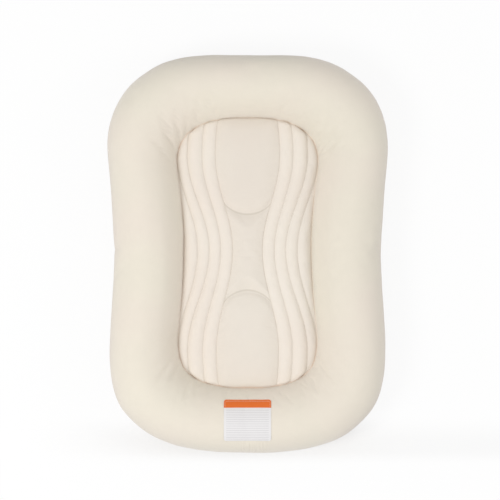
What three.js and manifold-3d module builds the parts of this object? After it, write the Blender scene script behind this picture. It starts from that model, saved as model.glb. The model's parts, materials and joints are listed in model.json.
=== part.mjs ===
// Infant lounger: a soft nest for a baby to lie in. A stuffed ring bolster surrounds a quilted pad,
// and a zip-off cloth cover holds both. The zip runs lengthwise under the base.
// Millimetres, +Z up. The head end is at +Y, and the base rests on z = 0.

import * as THREE from "three";
import { mergeVertices } from "three/addons/utils/BufferGeometryUtils.js";
import Module from "manifold-3d";

const wasm = await Module();
wasm.setup();

// Plan of the bolster, across its outer edge
const loungerLength = 737;
const headWidth = 522;
const waistWidth = 492;
const footWidth = 512;

// Plan of the quilted pad, along the seam where it meets the bolster
const padLength = 503;
const padHeadWidth = 263.6;
const padWaistWidth = 239;
const padFootWidth = 260;
const padTowardsHead = 2.5;

// Section of the bolster
const bolsterHeight = 118;
const outerWidestHeight = 54;
const padSeamHeight = 52;
const crestShare = 0.46;
const baseSeamInset = 26;
const baseSeamHeight = 1;
const innerFootInset = 26;
const seamLap = 4;

// Cloths and the gap that pieces lying against each other keep
const clearance = 0.3;
const coverCloth = 2;
const casingCloth = 1.2;
const quiltCloth = 1.2;
const backingCloth = 1;
const slingCloth = 1.2;

// How far a cutting solid runs past what it cuts
const cutOverrun = 5;

// Pad: foam core, wadding and the puff of its quilting
const coreThickness = 25;
const coreInset = 3;
const padCrown = 5;
const channelPuff = 5;
const ovalPuff = 4;
const fullPuffWidth = 24;

// Base panels of spacer cloth, and the slot between them for the zip
const baseThickness = 8;
const slotWidth = 13;
const slotOverhang = 22;

// Zip
const zipFromPadEnd = 41.5;
const tapeTail = 30;
const tapeWidth = 16;
const tapeThickness = 0.8;
const rowGap = 2;
const rowWidth = 2.2;
const rowDepth = 2.4;
const stopLength = 3;
const stopWall = 0.7;
const zipClearance = 0.4;

// Zip slider
const sliderLength = 13;
const sliderFrontWidth = 10.4;
const sliderBackWidth = 9.2;
const plateThickness = 1.1;
const flangeWidth = 0.9;
const postWidth = 1.2;
const postLength = 2.6;
const bailLength = 8.4;
const bailWidth = 1.8;
const bailWall = 1.2;
const bailCrown = 1;
const bailClearHeight = 2;

// Zip pull
const pullLength = 24;
const pullWidth = 5.5;
const pullThickness = 1.1;
const pullRail = 1.35;
const pullEyeLength = 4.5;
const pullTipHoleLength = 6;
const pullTipHoleWidth = 2;

// Sewn patch on the foot end of the bolster, about halfway between the pad seam and the outer
// edge. Its length is as seen from above.
const patchWidth = 87;
const patchLength = 74;
const patchThickness = 0.8;
const patchTowardsPad = 3;

// How finely curved forms are faceted
const ringSteps = 52;
const undercutSteps = 2;
const shoulderSteps = 4;
const innerFootSteps = 3;
const padRows = 25;

const headHalf = headWidth / 2;
const waistHalf = waistWidth / 2;
const footHalf = footWidth / 2;
const lengthHalf = loungerLength / 2;
const padHeadHalf = padHeadWidth / 2;
const padWaistHalf = padWaistWidth / 2;
const padFootHalf = padFootWidth / 2;
const padLengthHalf = padLength / 2;

const rowLength = padLength - 2 * zipFromPadEnd;
const tapeLength = rowLength + 2 * tapeTail;
const slotLength = rowLength + 2 * slotOverhang;

const insertSetback = coverCloth + clearance;
const insertFloor = baseThickness + clearance;

// Pairs of points on the outer edge and on the pad seam, from the middle of the head end down the
// right side to the middle of the foot end: x and y on the edge, then x and y on the seam.
// Each x is a share of that zone's half width, and each y a share of that outline's half length.
const headShares = [
  [0, 1, 0, 1],
  [0.356, 0.9965, 0.38, 0.987],
  [0.577, 0.967, 0.606, 0.957],
  [0.776, 0.887, 0.789, 0.905],
  [0.907, 0.786, 0.916, 0.835],
  [0.979, 0.665, 0.979, 0.758],
  [1, 0.544, 1, 0.662],
  [0.979, 0.403, 0.966, 0.507],
];
const waistShares = [
  [1.01, 0.151, 1.003, 0.189],
  [1, -0.02, 1, -0.039],
  [1.013, -0.191, 1.022, -0.268],
];
const footShares = [
  [0.993, -0.383, 0.985, -0.527],
  [1, -0.524, 1, -0.66],
  [0.982, -0.655, 0.971, -0.778],
  [0.924, -0.766, 0.907, -0.855],
  [0.812, -0.856, 0.8, -0.911],
  [0.67, -0.927, 0.643, -0.955],
  [0.439, -0.979, 0.428, -0.984],
  [0.203, -0.997, 0.2, -0.998],
  [0, -1, 0, -1],
];

function zonePairs(shares, half, padHalf) {
  return shares.map(([x, y, padX, padY]) => ({
    outer: new THREE.Vector3(x * half, y * lengthHalf, 0),
    seam: new THREE.Vector3(padX * padHalf, padTowardsHead + padY * padLengthHalf, 0),
  }));
}

const rightPairs = [
  ...zonePairs(headShares, headHalf, padHeadHalf),
  ...zonePairs(waistShares, waistHalf, padWaistHalf),
  ...zonePairs(footShares, footHalf, padFootHalf),
];

function closedCurve(rightPoints) {
  const mirrored = (p) => new THREE.Vector3(-p.x, p.y, p.z);
  const leftPoints = rightPoints.slice(1, -1).reverse().map(mirrored);
  return new THREE.CatmullRomCurve3([...rightPoints, ...leftPoints], true, "centripetal");
}

const outerCurve = closedCurve(rightPairs.map((pair) => pair.outer));
const seamCurve = closedCurve(rightPairs.map((pair) => pair.seam));

// Each station is a cut across the bolster, with a unit vector from its outer edge to the pad.
const stations = Array.from({ length: ringSteps }, (_, k) => {
  const outer = outerCurve.getPoint(k / ringSteps);
  const seam = seamCurve.getPoint(k / ringSteps);
  const inwards = seam.clone().sub(outer);
  const width = inwards.length();
  return { outer, seam, width, inwards: inwards.normalize() };
});

function planPoint(station, across) {
  return station.outer.clone().addScaledVector(station.inwards, across);
}

// Section curves are lists of [across, up]: across is measured inwards from the outer edge.
function arc(centre, radii, fromDegrees, toDegrees, steps) {
  return Array.from({ length: steps + 1 }, (_, i) => {
    const angle = THREE.MathUtils.degToRad(fromDegrees + ((toDegrees - fromDegrees) * i) / steps);
    return [centre[0] + radii[0] * Math.cos(angle), centre[1] + radii[1] * Math.sin(angle)];
  });
}

function outerShoulder(width, setback) {
  const crest = crestShare * width;
  const radii = [crest - setback, bolsterHeight - outerWidestHeight - setback];
  return arc([crest, outerWidestHeight], radii, 180, 90, shoulderSteps);
}

function innerShoulder(width, setback) {
  const crest = crestShare * width;
  const radii = [width - crest - setback, bolsterHeight - padSeamHeight - setback];
  return arc([crest, padSeamHeight], radii, 90, 0, shoulderSteps);
}

function undercut(setback, floorHeight) {
  const radii = [baseSeamInset - setback, outerWidestHeight - floorHeight];
  return arc([baseSeamInset, outerWidestHeight], radii, 270, 180, undercutSteps);
}

function innerFoot(width, setback, floorHeight) {
  const radii = [innerFootInset - setback, padSeamHeight - floorHeight];
  return arc([width - innerFootInset, padSeamHeight], radii, 0, -90, innerFootSteps);
}

// From the base seam out, over the crest and down to the pad seam
function coverLine(width, setback) {
  return [
    ...undercut(setback, baseSeamHeight + setback),
    ...outerShoulder(width, setback).slice(1),
    ...innerShoulder(width, setback).slice(1),
    [width - setback, padSeamHeight - seamLap],
  ];
}

// The insert lies inside the cover and on the base panels; depth is measured into it.
function insertUpperLine(width, depth) {
  const setback = insertSetback + depth;
  return [...outerShoulder(width, setback), ...innerShoulder(width, setback).slice(1)];
}

function insertLowerLine(width, depth) {
  const setback = insertSetback + depth;
  const floorHeight = insertFloor + depth;
  return [...innerFoot(width, setback, floorHeight), ...undercut(setback, floorHeight)];
}

function loweredEnds(line, drop) {
  return line.map(([across, up], i) => {
    const isEnd = i === 0 || i === line.length - 1;
    return [across, isEnd ? up - drop : up];
  });
}

function solidOf(geometry) {
  const bare = geometry.clone();
  bare.deleteAttribute("normal");
  bare.deleteAttribute("uv");
  const merged = mergeVertices(bare);
  const vertProperties = new Float32Array(merged.attributes.position.array);
  const triVerts = new Uint32Array(merged.index.array);
  return new wasm.Manifold(new wasm.Mesh({ numProp: 3, vertProperties, triVerts }));
}

function geometryOf(solid) {
  const mesh = solid.getMesh();
  const geometry = new THREE.BufferGeometry();
  geometry.setAttribute("position", new THREE.BufferAttribute(mesh.vertProperties, 3));
  geometry.setIndex(new THREE.BufferAttribute(mesh.triVerts, 1));
  return geometry;
}

function joined(geometries) {
  return geometries.map(solidOf).reduce((whole, piece) => whole.add(piece));
}

function triangleGeometry(points, triangles) {
  const geometry = new THREE.BufferGeometry();
  const positions = new Float32Array(points.flatMap((p) => [p.x, p.y, p.z]));
  geometry.setAttribute("position", new THREE.BufferAttribute(positions, 3));
  geometry.setIndex(triangles.flat());
  return geometry;
}

// A closed section carried round the bolster. sectionOf gives it for a station's width.
function ringGeometry(sectionOf) {
  const points = [];
  const triangles = [];
  const count = sectionOf(stations[0].width).length;
  stations.forEach((station, k) => {
    for (const [across, up] of sectionOf(station.width)) {
      points.push(planPoint(station, across).setZ(up));
    }
    const here = k * count;
    const there = ((k + 1) % ringSteps) * count;
    for (let j = 0; j < count; j++) {
      const next = (j + 1) % count;
      triangles.push([here + j, here + next, there + j]);
      triangles.push([there + j, here + next, there + next]);
    }
  });
  return triangleGeometry(points, triangles);
}

function shellSection(faceLine, backLine) {
  return [...faceLine, ...backLine.slice().reverse()];
}

// A flat panel with its outline in plan, given as points, standing up from a height
function panelGeometry(outline, height, thickness) {
  const shape = new THREE.Shape(outline.map((p) => new THREE.Vector2(p.x, p.y)));
  const geometry = new THREE.ExtrudeGeometry(shape, { depth: thickness, bevelEnabled: false });
  return geometry.translate(0, 0, height);
}

function boxBetween(low, high) {
  const size = high.map((value, i) => value - low[i]);
  const middle = high.map((value, i) => (value + low[i]) / 2);
  return new THREE.BoxGeometry(...size).translate(...middle);
}

// A prism along X with its outline in Y and Z
function prismAlongX(shape, width) {
  const geometry = new THREE.ExtrudeGeometry(shape, { depth: width, bevelEnabled: false });
  return geometry.translate(0, 0, -width / 2).rotateX(Math.PI / 2).rotateZ(Math.PI / 2);
}

// Bolster: the cover's ring, the casing in two halves, and the fill

function coverBolster() {
  return ringGeometry((width) => shellSection(coverLine(width, 0), coverLine(width, coverCloth)));
}

function casingUpper() {
  const section = (width) =>
    shellSection(insertUpperLine(width, 0), insertUpperLine(width, casingCloth));
  return ringGeometry(section);
}

function casingLower() {
  const section = (width) => {
    const face = loweredEnds(insertLowerLine(width, 0), clearance);
    const back = loweredEnds(insertLowerLine(width, casingCloth), clearance);
    return shellSection(face, back);
  };
  return ringGeometry(section);
}

function bolsterFill() {
  const depth = casingCloth + clearance;
  const section = (width) => [
    ...insertUpperLine(width, depth),
    ...insertLowerLine(width, depth).slice(1, -1),
  ];
  return ringGeometry(section);
}

// Outline of the quilted panel: the pad seam, set in from the cover by the clearance
const quiltOutline = stations.map((station) => planPoint(station, station.width + clearance));
const quiltOutlineRight = quiltOutline.slice(0, ringSteps / 2 + 1);

function outlineAt(known, value, wanted) {
  for (let i = 1; i < quiltOutlineRight.length; i++) {
    const a = quiltOutlineRight[i - 1];
    const b = quiltOutlineRight[i];
    if ((a[known] - value) * (b[known] - value) <= 0 && a[known] !== b[known]) {
      return THREE.MathUtils.mapLinear(value, a[known], b[known], a[wanted], b[wanted]);
    }
  }
  return undefined;
}

const halfWidthAt = (y) => outlineAt("y", y, "x") ?? 0;

// Quilting lines: their distance from the centre line at the head, waist and foot of the pad, as
// shares of its half widths, and the places of those zones, as shares of its half length.
const ovalEdgeShares = { head: 0.456, waist: 0.23, foot: 0.447 };
const innerWaveShares = { head: 0.646, waist: 0.418, foot: 0.647 };
const outerWaveShares = { head: 0.856, waist: 0.595, foot: 0.865 };
const sideWaveShares = { head: 1, waist: 0.777, foot: 1 };
const zoneShares = { head: 0.72, waist: 0.02, foot: -0.72 };
const headCornerShare = 0.95;
const footCornerShare = 0.94;
const sideWaveMargin = 4;
const endSearchSteps = 40;

function quiltLineX(shares, y) {
  const along = (y - padTowardsHead) / padLengthHalf;
  const end = along > zoneShares.waist ? "head" : "foot";
  const endHalf = end === "head" ? padHeadHalf : padFootHalf;
  const progress = (along - zoneShares.waist) / (zoneShares[end] - zoneShares.waist);
  const spread =
    progress < 1 ? (1 - Math.cos(Math.PI * progress)) / 2 : 1 - (progress - 1) ** 2;
  return THREE.MathUtils.lerp(shares.waist * padWaistHalf, shares[end] * endHalf, spread);
}

const lineX = [
  () => 0,
  (y) => quiltLineX(ovalEdgeShares, y),
  (y) => quiltLineX(innerWaveShares, y),
  (y) => quiltLineX(outerWaveShares, y),
  (y) => Math.min(quiltLineX(sideWaveShares, y), halfWidthAt(y) - sideWaveMargin),
  (y) => halfWidthAt(y),
];
const ownEndWaveCount = 3;
const padColumns = 2 * (lineX.length - 1);

// Columns follow the quilting lines, with one more column along the middle of each channel.
function columnX(column, y) {
  const inner = lineX[Math.floor(column / 2)](y);
  const outer = lineX[Math.ceil(column / 2)](y);
  return (inner + outer) / 2;
}

// Where a column meets the pad seam at one end, found by halving
function columnEnd(column, end) {
  const atHead = end === "head";
  const corner = atHead ? headCornerShare * padHeadHalf : footCornerShare * padFootHalf;
  const sign = atHead ? 1 : -1;
  const lastOwn = 2 * ownEndWaveCount;
  if (column > lastOwn) {
    const inner = columnEnd(lastOwn, end);
    const x = THREE.MathUtils.mapLinear(column, lastOwn, padColumns, inner.x, corner);
    return endPoint(x, sign);
  }
  let inside = padTowardsHead + sign * zoneShares.head * padLengthHalf;
  let outside = padTowardsHead + sign * padLengthHalf;
  for (let i = 0; i < endSearchSteps; i++) {
    const middle = (inside + outside) / 2;
    if (columnX(column, middle) < halfWidthAt(middle)) inside = middle;
    else outside = middle;
  }
  return { x: columnX(column, inside), y: inside };
}

function endPoint(x, sign) {
  const outwards = sign > 0 ? quiltOutlineRight : quiltOutlineRight.slice().reverse();
  for (let i = 1; i < outwards.length; i++) {
    const [a, b] = [outwards[i - 1], outwards[i]];
    if ((a.x - x) * (b.x - x) <= 0) {
      return { x, y: THREE.MathUtils.mapLinear(x, a.x, b.x, a.y, b.y) };
    }
  }
  throw new Error("a quilting column misses the pad seam");
}

// The two ovals: the row that follows each one's inner arc, how far the arc bows at the centre
// line, and over how many rows the bow fades away
const headArc = { afterRows: 17, bowShare: -0.075, fadeRows: 6 };
const footArc = { afterRows: 8, bowShare: 0.085, fadeRows: 5 };

function arcBow(row, x, edgeX) {
  const across = 1 - Math.min(1, Math.abs(x) / edgeX) ** 2;
  const bow = ({ afterRows, bowShare, fadeRows }) =>
    bowShare * padLengthHalf * Math.max(0, 1 - Math.abs(row - afterRows) / fadeRows);
  return across * (bow(headArc) + bow(footArc));
}

function quiltRise(column, row, x, y) {
  const atEnd = row === 0 || row === padRows;
  const half = Math.max(halfWidthAt(y), Math.abs(x));
  const along = (y - padTowardsHead) / padLengthHalf;
  const dome = half > 0 ? Math.max(0, 1 - (x / half) ** 4) * Math.max(0, 1 - along ** 8) : 0;
  if (atEnd || column === padColumns) return 0;
  const inOval = column < 2;
  if (inOval) {
    const onArc = row === headArc.afterRows || row === footArc.afterRows;
    return padCrown * dome + (onArc ? 0 : ovalPuff);
  }
  const onLine = column % 2 === 0;
  if (onLine) return padCrown * dome;
  const inner = lineX[Math.floor(column / 2)](y);
  const outer = lineX[Math.ceil(column / 2)](y);
  return padCrown * dome + channelPuff * Math.min(1, Math.max(0, outer - inner) / fullPuffWidth);
}

const columnEnds = Array.from({ length: padColumns + 1 }, (_, column) => ({
  head: columnEnd(column, "head"),
  foot: columnEnd(column, "foot"),
}));

// Rows of points over the pad's face, from foot to head and from left to right
const padFace = Array.from({ length: padRows + 1 }, (_, row) =>
  Array.from({ length: 2 * padColumns + 1 }, (_, i) => {
    const column = Math.abs(i - padColumns);
    const side = Math.sign(i - padColumns);
    const { head, foot } = columnEnds[column];
    const straightY = THREE.MathUtils.lerp(foot.y, head.y, row / padRows);
    const isEnd = row === 0 || row === padRows;
    const x = isEnd ? (row === 0 ? foot.x : head.x) : columnX(column, straightY);
    const y = straightY + (isEnd ? 0 : arcBow(row, x, lineX[1](straightY)));
    const z = padSeamHeight + quiltRise(column, row, x, y);
    return new THREE.Vector3(side * x, y, z);
  }),
);

function loweredGrid(grid, drop) {
  return grid.map((row) => row.map((p) => new THREE.Vector3(p.x, p.y, p.z - drop)));
}

function gridBorder(rows, columns) {
  const index = (r, c) => r * columns + c;
  const border = [];
  for (let c = 0; c < columns - 1; c++) border.push(index(0, c));
  for (let r = 0; r < rows - 1; r++) border.push(index(r, columns - 1));
  for (let c = columns - 1; c > 0; c--) border.push(index(rows - 1, c));
  for (let r = rows - 1; r > 0; r--) border.push(index(r, 0));
  return border;
}

function gridTriangles(rows, columns) {
  const triangles = [];
  for (let r = 0; r < rows - 1; r++) {
    for (let c = 0; c < columns - 1; c++) {
      const a = r * columns + c;
      triangles.push([a, a + 1, a + columns]);
      triangles.push([a + 1, a + columns + 1, a + columns]);
    }
  }
  return triangles;
}

// A solid under a grid of points. Its underside is another grid, or flat at a height.
function quiltedSolid(face, underside) {
  const rows = face.length;
  const columns = face[0].length;
  const points = face.flat();
  const triangles = gridTriangles(rows, columns);
  const border = gridBorder(rows, columns);
  const first = points.length;
  let lowerBorder;
  if (Array.isArray(underside)) {
    points.push(...underside.flat());
    for (const [a, b, c] of gridTriangles(rows, columns)) {
      triangles.push([first + a, first + c, first + b]);
    }
    lowerBorder = border.map((i) => first + i);
  } else {
    const flat = border.map((i) => new THREE.Vector3(points[i].x, points[i].y, underside));
    const outline = flat.map((p) => new THREE.Vector2(p.x, p.y));
    points.push(...flat);
    for (const [a, b, c] of THREE.ShapeUtils.triangulateShape(outline, [])) {
      triangles.push([first + a, first + c, first + b]);
    }
    lowerBorder = border.map((_, i) => first + i);
  }
  border.forEach((upper, i) => {
    const nextUpper = border[(i + 1) % border.length];
    const lower = lowerBorder[i];
    const nextLower = lowerBorder[(i + 1) % border.length];
    triangles.push([upper, lower, nextUpper]);
    triangles.push([nextUpper, lower, nextLower]);
  });
  return triangleGeometry(points, triangles);
}

// Zip heights, from its rows of teeth up through the tapes
const tapeBottom = baseThickness + clearance;
const tapeTop = tapeBottom + tapeThickness;
const rowTop = tapeBottom - clearance;
const rowBottom = rowTop - rowDepth;
const sliderOuterTop = rowBottom - zipClearance;
const sliderOuterBottom = sliderOuterTop - plateThickness;
const sliderInnerBottom = tapeTop + zipClearance;
const sliderInnerTop = sliderInnerBottom + plateThickness;

// Heights of the pad's layers, which leave room under them for the slider
const slingBottom = sliderInnerTop + 2 * zipClearance;
const slingTop = slingBottom + slingCloth;
const coreBottom = slingTop + clearance;
const coreTop = coreBottom + coreThickness;
const backingBottom = coreTop + clearance;
const backingTop = backingBottom + backingCloth;
const waddingBottom = backingTop + clearance;

function quiltFace() {
  return quiltedSolid(padFace, loweredGrid(padFace, quiltCloth));
}

function quiltWadding() {
  return quiltedSolid(loweredGrid(padFace, quiltCloth + clearance), waddingBottom);
}

function quiltBacking() {
  return panelGeometry(quiltOutline, backingBottom, backingCloth);
}

function padCore() {
  const outline = stations.map((station) => planPoint(station, station.width + coreInset));
  return panelGeometry(outline, coreBottom, coreThickness);
}

// The sling spans the insert's inner wall, and stops short of it by the clearance.
function slingPanel() {
  const outline = stations.map((station) => {
    const line = insertLowerLine(station.width, 0);
    const above = line.findIndex(([, up]) => up < slingTop);
    const [highAcross, highUp] = line[above - 1];
    const [lowAcross, lowUp] = line[above];
    const wall = THREE.MathUtils.mapLinear(slingTop, highUp, lowUp, highAcross, lowAcross);
    return planPoint(station, wall + 2 * clearance);
  });
  return panelGeometry(outline, slingBottom, slingCloth);
}

// Base panels: two halves that meet along the centre line, except at the slot for the zip

function basePanel(side) {
  const edge = stations
    .slice(0, ringSteps / 2 + 1)
    .map((station) => planPoint(station, baseSeamInset + clearance));
  const middle = clearance / 2;
  const outline = edge.map((p) => new THREE.Vector2(Math.max(p.x, middle), p.y));
  outline.push(
    new THREE.Vector2(middle, -slotLength / 2),
    new THREE.Vector2(slotWidth / 2, -slotLength / 2),
    new THREE.Vector2(slotWidth / 2, slotLength / 2),
    new THREE.Vector2(middle, slotLength / 2),
  );
  const sided = outline.map((p) => new THREE.Vector2(side * p.x, p.y));
  return panelGeometry(sided, 0, baseThickness);
}

function zipTape(side) {
  const inner = rowGap / 2;
  const outer = inner + tapeWidth;
  const low = [Math.min(side * inner, side * outer), -tapeLength / 2, tapeBottom];
  const high = [Math.max(side * inner, side * outer), tapeLength / 2, tapeTop];
  return boxBetween(low, high);
}

// A row of teeth as one rounded strip
function zipRow(side) {
  const shape = new THREE.Shape();
  shape.absellipse(0, 0, rowWidth / 2, rowDepth / 2, 0, 2 * Math.PI);
  const settings = { depth: rowLength, bevelEnabled: false, curveSegments: 6 };
  const strip = new THREE.ExtrudeGeometry(shape, settings).rotateX(Math.PI / 2);
  const x = side * (rowGap / 2 + rowWidth / 2);
  return strip.translate(x, rowLength / 2, (rowTop + rowBottom) / 2);
}

// A metal stop folded round the tapes' inner edges, from a wall in the gap between the tapes
function zipStop(wallFromX, wallToX, sides, middleY) {
  const reach = rowGap / 2 + rowWidth;
  const slotBottom = tapeBottom - zipClearance;
  const slotTop = tapeTop + zipClearance;
  const spanX = [wallFromX, wallToX, ...sides.map((side) => side * reach)];
  const low = [Math.min(...spanX), middleY - stopLength / 2, slotBottom - stopWall];
  const high = [Math.max(...spanX), middleY + stopLength / 2, slotTop + stopWall];
  const slots = sides.map((side) => {
    const ends = [side < 0 ? wallFromX : wallToX, side * (reach + cutOverrun)];
    return boxBetween(
      [Math.min(...ends), low[1] - cutOverrun, slotBottom],
      [Math.max(...ends), high[1] + cutOverrun, slotTop],
    );
  });
  const block = solidOf(boxBetween(low, high));
  return geometryOf(slots.map(solidOf).reduce((stop, slot) => stop.subtract(slot), block));
}

// Each top stop holds one tape, and keeps a gap to the other at the centre line.
function zipTopStop(side) {
  const nearX = side * (clearance / 2);
  const farX = side * (rowGap / 2 - clearance);
  const middleY = rowLength / 2 + clearance + stopLength / 2;
  return zipStop(Math.min(nearX, farX), Math.max(nearX, farX), [side], middleY);
}

// The bottom stop joins both tapes.
function zipBottomStop() {
  const wallReach = rowGap / 2 - clearance;
  const middleY = -(rowLength / 2 + clearance + stopLength / 2);
  return zipStop(-wallReach, wallReach, [-1, 1], middleY);
}

// The slider stands closed against the top stops, and its wide front points at them.
const sliderFrontY = rowLength / 2 - clearance;
const sliderY = sliderFrontY - sliderLength / 2;
const pullAxisHeight = sliderOuterBottom - bailClearHeight / 2;

function sliderPlate(height) {
  const front = sliderFrontWidth / 2;
  const back = sliderBackWidth / 2;
  const end = sliderLength / 2;
  const shape = new THREE.Shape();
  shape.moveTo(-back / 2, -end);
  shape.lineTo(back / 2, -end);
  shape.quadraticCurveTo(back, -end, back, -end / 2);
  shape.lineTo(front, end / 2);
  shape.quadraticCurveTo(front, end, front / 2, end);
  shape.lineTo(-front / 2, end);
  shape.quadraticCurveTo(-front, end, -front, end / 2);
  shape.lineTo(-back, -end / 2);
  shape.quadraticCurveTo(-back, -end, -back / 2, -end);
  const settings = { depth: plateThickness, bevelEnabled: false, curveSegments: 4 };
  return new THREE.ExtrudeGeometry(shape, settings).translate(0, 0, height);
}

function sliderFlange(side) {
  const end = sliderLength / 4;
  const front = sliderFrontWidth / 2;
  const back = sliderBackWidth / 2;
  const corners = [
    [back - flangeWidth, -end],
    [back, -end],
    [front, end],
    [front - flangeWidth, end],
  ];
  const outline = corners.map(([x, y]) => new THREE.Vector2(side * x, y));
  const height = tapeBottom - zipClearance - sliderOuterBottom;
  return panelGeometry(outline, sliderOuterBottom, height);
}

// The bail is an arch along the slider, under its outer plate. The pull's end bar turns in it.
function sliderBail() {
  const half = bailLength / 2;
  const top = sliderOuterBottom + plateThickness / 2;
  const bottom = sliderOuterBottom - bailClearHeight - bailCrown;
  const shape = new THREE.Shape();
  shape.moveTo(-half, top);
  shape.lineTo(-half, bottom + bailCrown);
  shape.quadraticCurveTo(-half, bottom, -half + bailWall, bottom);
  shape.lineTo(half - bailWall, bottom);
  shape.quadraticCurveTo(half, bottom, half, bottom + bailCrown);
  shape.lineTo(half, top);
  shape.lineTo(half - bailWall, top);
  shape.lineTo(half - bailWall, bottom + bailCrown);
  shape.lineTo(-half + bailWall, bottom + bailCrown);
  shape.lineTo(-half + bailWall, top);
  return prismAlongX(shape, bailWidth);
}

function zipSlider() {
  const postFront = sliderLength / 2 - postLength / 2;
  const post = boxBetween(
    [-postWidth / 2, postFront - postLength, sliderOuterTop - plateThickness / 2],
    [postWidth / 2, postFront, sliderInnerBottom + plateThickness / 2],
  );
  const pieces = [
    sliderPlate(sliderOuterBottom),
    sliderPlate(sliderInnerBottom),
    post,
    sliderFlange(-1),
    sliderFlange(1),
    sliderBail(),
  ];
  return geometryOf(joined(pieces).translate([0, sliderY, 0]));
}

// The pull lies flat along the closed chain. Its end bar is on the hinge axis at y = 0 here.
function zipPull() {
  const half = pullWidth / 2;
  const barHalf = pullThickness / 2;
  const tip = -pullLength;
  const shape = new THREE.Shape();
  shape.moveTo(-half, barHalf);
  shape.lineTo(-half, tip + half);
  shape.absarc(0, tip + half, half, Math.PI, 2 * Math.PI, false);
  shape.lineTo(half, barHalf);
  const eye = new THREE.Path();
  const eyeHalf = half - pullRail;
  eye.moveTo(-eyeHalf, -barHalf);
  eye.lineTo(eyeHalf, -barHalf);
  eye.lineTo(eyeHalf, -barHalf - pullEyeLength);
  eye.lineTo(-eyeHalf, -barHalf - pullEyeLength);
  shape.holes.push(eye);
  const tipHole = new THREE.Path();
  const tipHoleHalf = pullTipHoleWidth / 2;
  const tipHoleY = tip + half;
  tipHole.absarc(0, tipHoleY, tipHoleHalf, Math.PI, 2 * Math.PI, false);
  tipHole.absarc(0, tipHoleY + pullTipHoleLength, tipHoleHalf, 0, Math.PI, false);
  shape.holes.push(tipHole);
  const settings = { depth: pullThickness, bevelEnabled: false, curveSegments: 6 };
  const plate = new THREE.ExtrudeGeometry(shape, settings);
  return plate.translate(0, sliderY, pullAxisHeight - barHalf);
}

// The patch is a piece of a thin shell laid over the cover, cut out by its outline in plan.
function footPatch() {
  const shell = (width) =>
    shellSection(coverLine(width, -clearance - patchThickness), coverLine(width, -clearance));
  const half = patchWidth / 2;
  const padSeamY = padTowardsHead - padLengthHalf;
  const middleY = (padSeamY - lengthHalf) / 2 + patchTowardsPad;
  const low = [-half, middleY - patchLength / 2, padSeamHeight];
  const high = [half, middleY + patchLength / 2, bolsterHeight + patchThickness + cutOverrun];
  return geometryOf(solidOf(ringGeometry(shell)).intersect(solidOf(boxBetween(low, high))));
}

const creamCloth = new THREE.MeshStandardMaterial({ color: 0xeae0d0, roughness: 0.9 });
const quiltCream = new THREE.MeshStandardMaterial({ color: 0xe8dfd0, roughness: 0.9 });
const spacerCloth = new THREE.MeshStandardMaterial({ color: 0xe2d8c6, roughness: 0.95 });
const insertCloth = new THREE.MeshStandardMaterial({ color: 0xf4f1ea, roughness: 0.95 });
const fibreFill = new THREE.MeshStandardMaterial({ color: 0xfafaf7, roughness: 1 });
const foam = new THREE.MeshStandardMaterial({ color: 0xf2ead2, roughness: 1 });
const patchCloth = new THREE.MeshStandardMaterial({ color: 0xe9e6e4, roughness: 0.7 });
const zipCloth = new THREE.MeshStandardMaterial({ color: 0xe6dcca, roughness: 0.85 });
const zipNylon = new THREE.MeshStandardMaterial({ color: 0xe0d5c2, roughness: 0.5 });
const zipMetal = new THREE.MeshStandardMaterial({ color: 0xc9c6c0, roughness: 0.35, metalness: 1 });

const lounger = new THREE.Group();

function add(name, geometry, material) {
  const mesh = new THREE.Mesh(geometry, material);
  mesh.name = name;
  lounger.add(mesh);
}

add("cover_bolster", coverBolster(), creamCloth);
add("quilt_face", quiltFace(), quiltCream);
add("quilt_wadding", quiltWadding(), fibreFill);
add("quilt_backing", quiltBacking(), insertCloth);
add("base_panel_left", basePanel(-1), spacerCloth);
add("base_panel_right", basePanel(1), spacerCloth);
add("foot_patch", footPatch(), patchCloth);
add("casing_upper", casingUpper(), insertCloth);
add("casing_lower", casingLower(), insertCloth);
add("bolster_fill", bolsterFill(), fibreFill);
add("insert_sling", slingPanel(), insertCloth);
add("pad_core", padCore(), foam);
add("zip_tape_left", zipTape(-1), zipCloth);
add("zip_tape_right", zipTape(1), zipCloth);
add("zip_teeth_left", zipRow(-1), zipNylon);
add("zip_teeth_right", zipRow(1), zipNylon);
add("zip_top_stop_left", zipTopStop(-1), zipMetal);
add("zip_top_stop_right", zipTopStop(1), zipMetal);
add("zip_bottom_stop", zipBottomStop(), zipMetal);
add("zip_slider", zipSlider(), zipMetal);
add("zip_pull", zipPull(), zipMetal);

export default lounger;
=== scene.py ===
import json
import math
from contextlib import contextmanager

import bmesh
import bpy
import numpy as np
from bpy.props import FloatProperty, FloatVectorProperty, IntProperty, PointerProperty
from bpy.types import Operator, Panel, PropertyGroup
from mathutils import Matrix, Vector, noise
from mathutils.bvhtree import BVHTree


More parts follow.
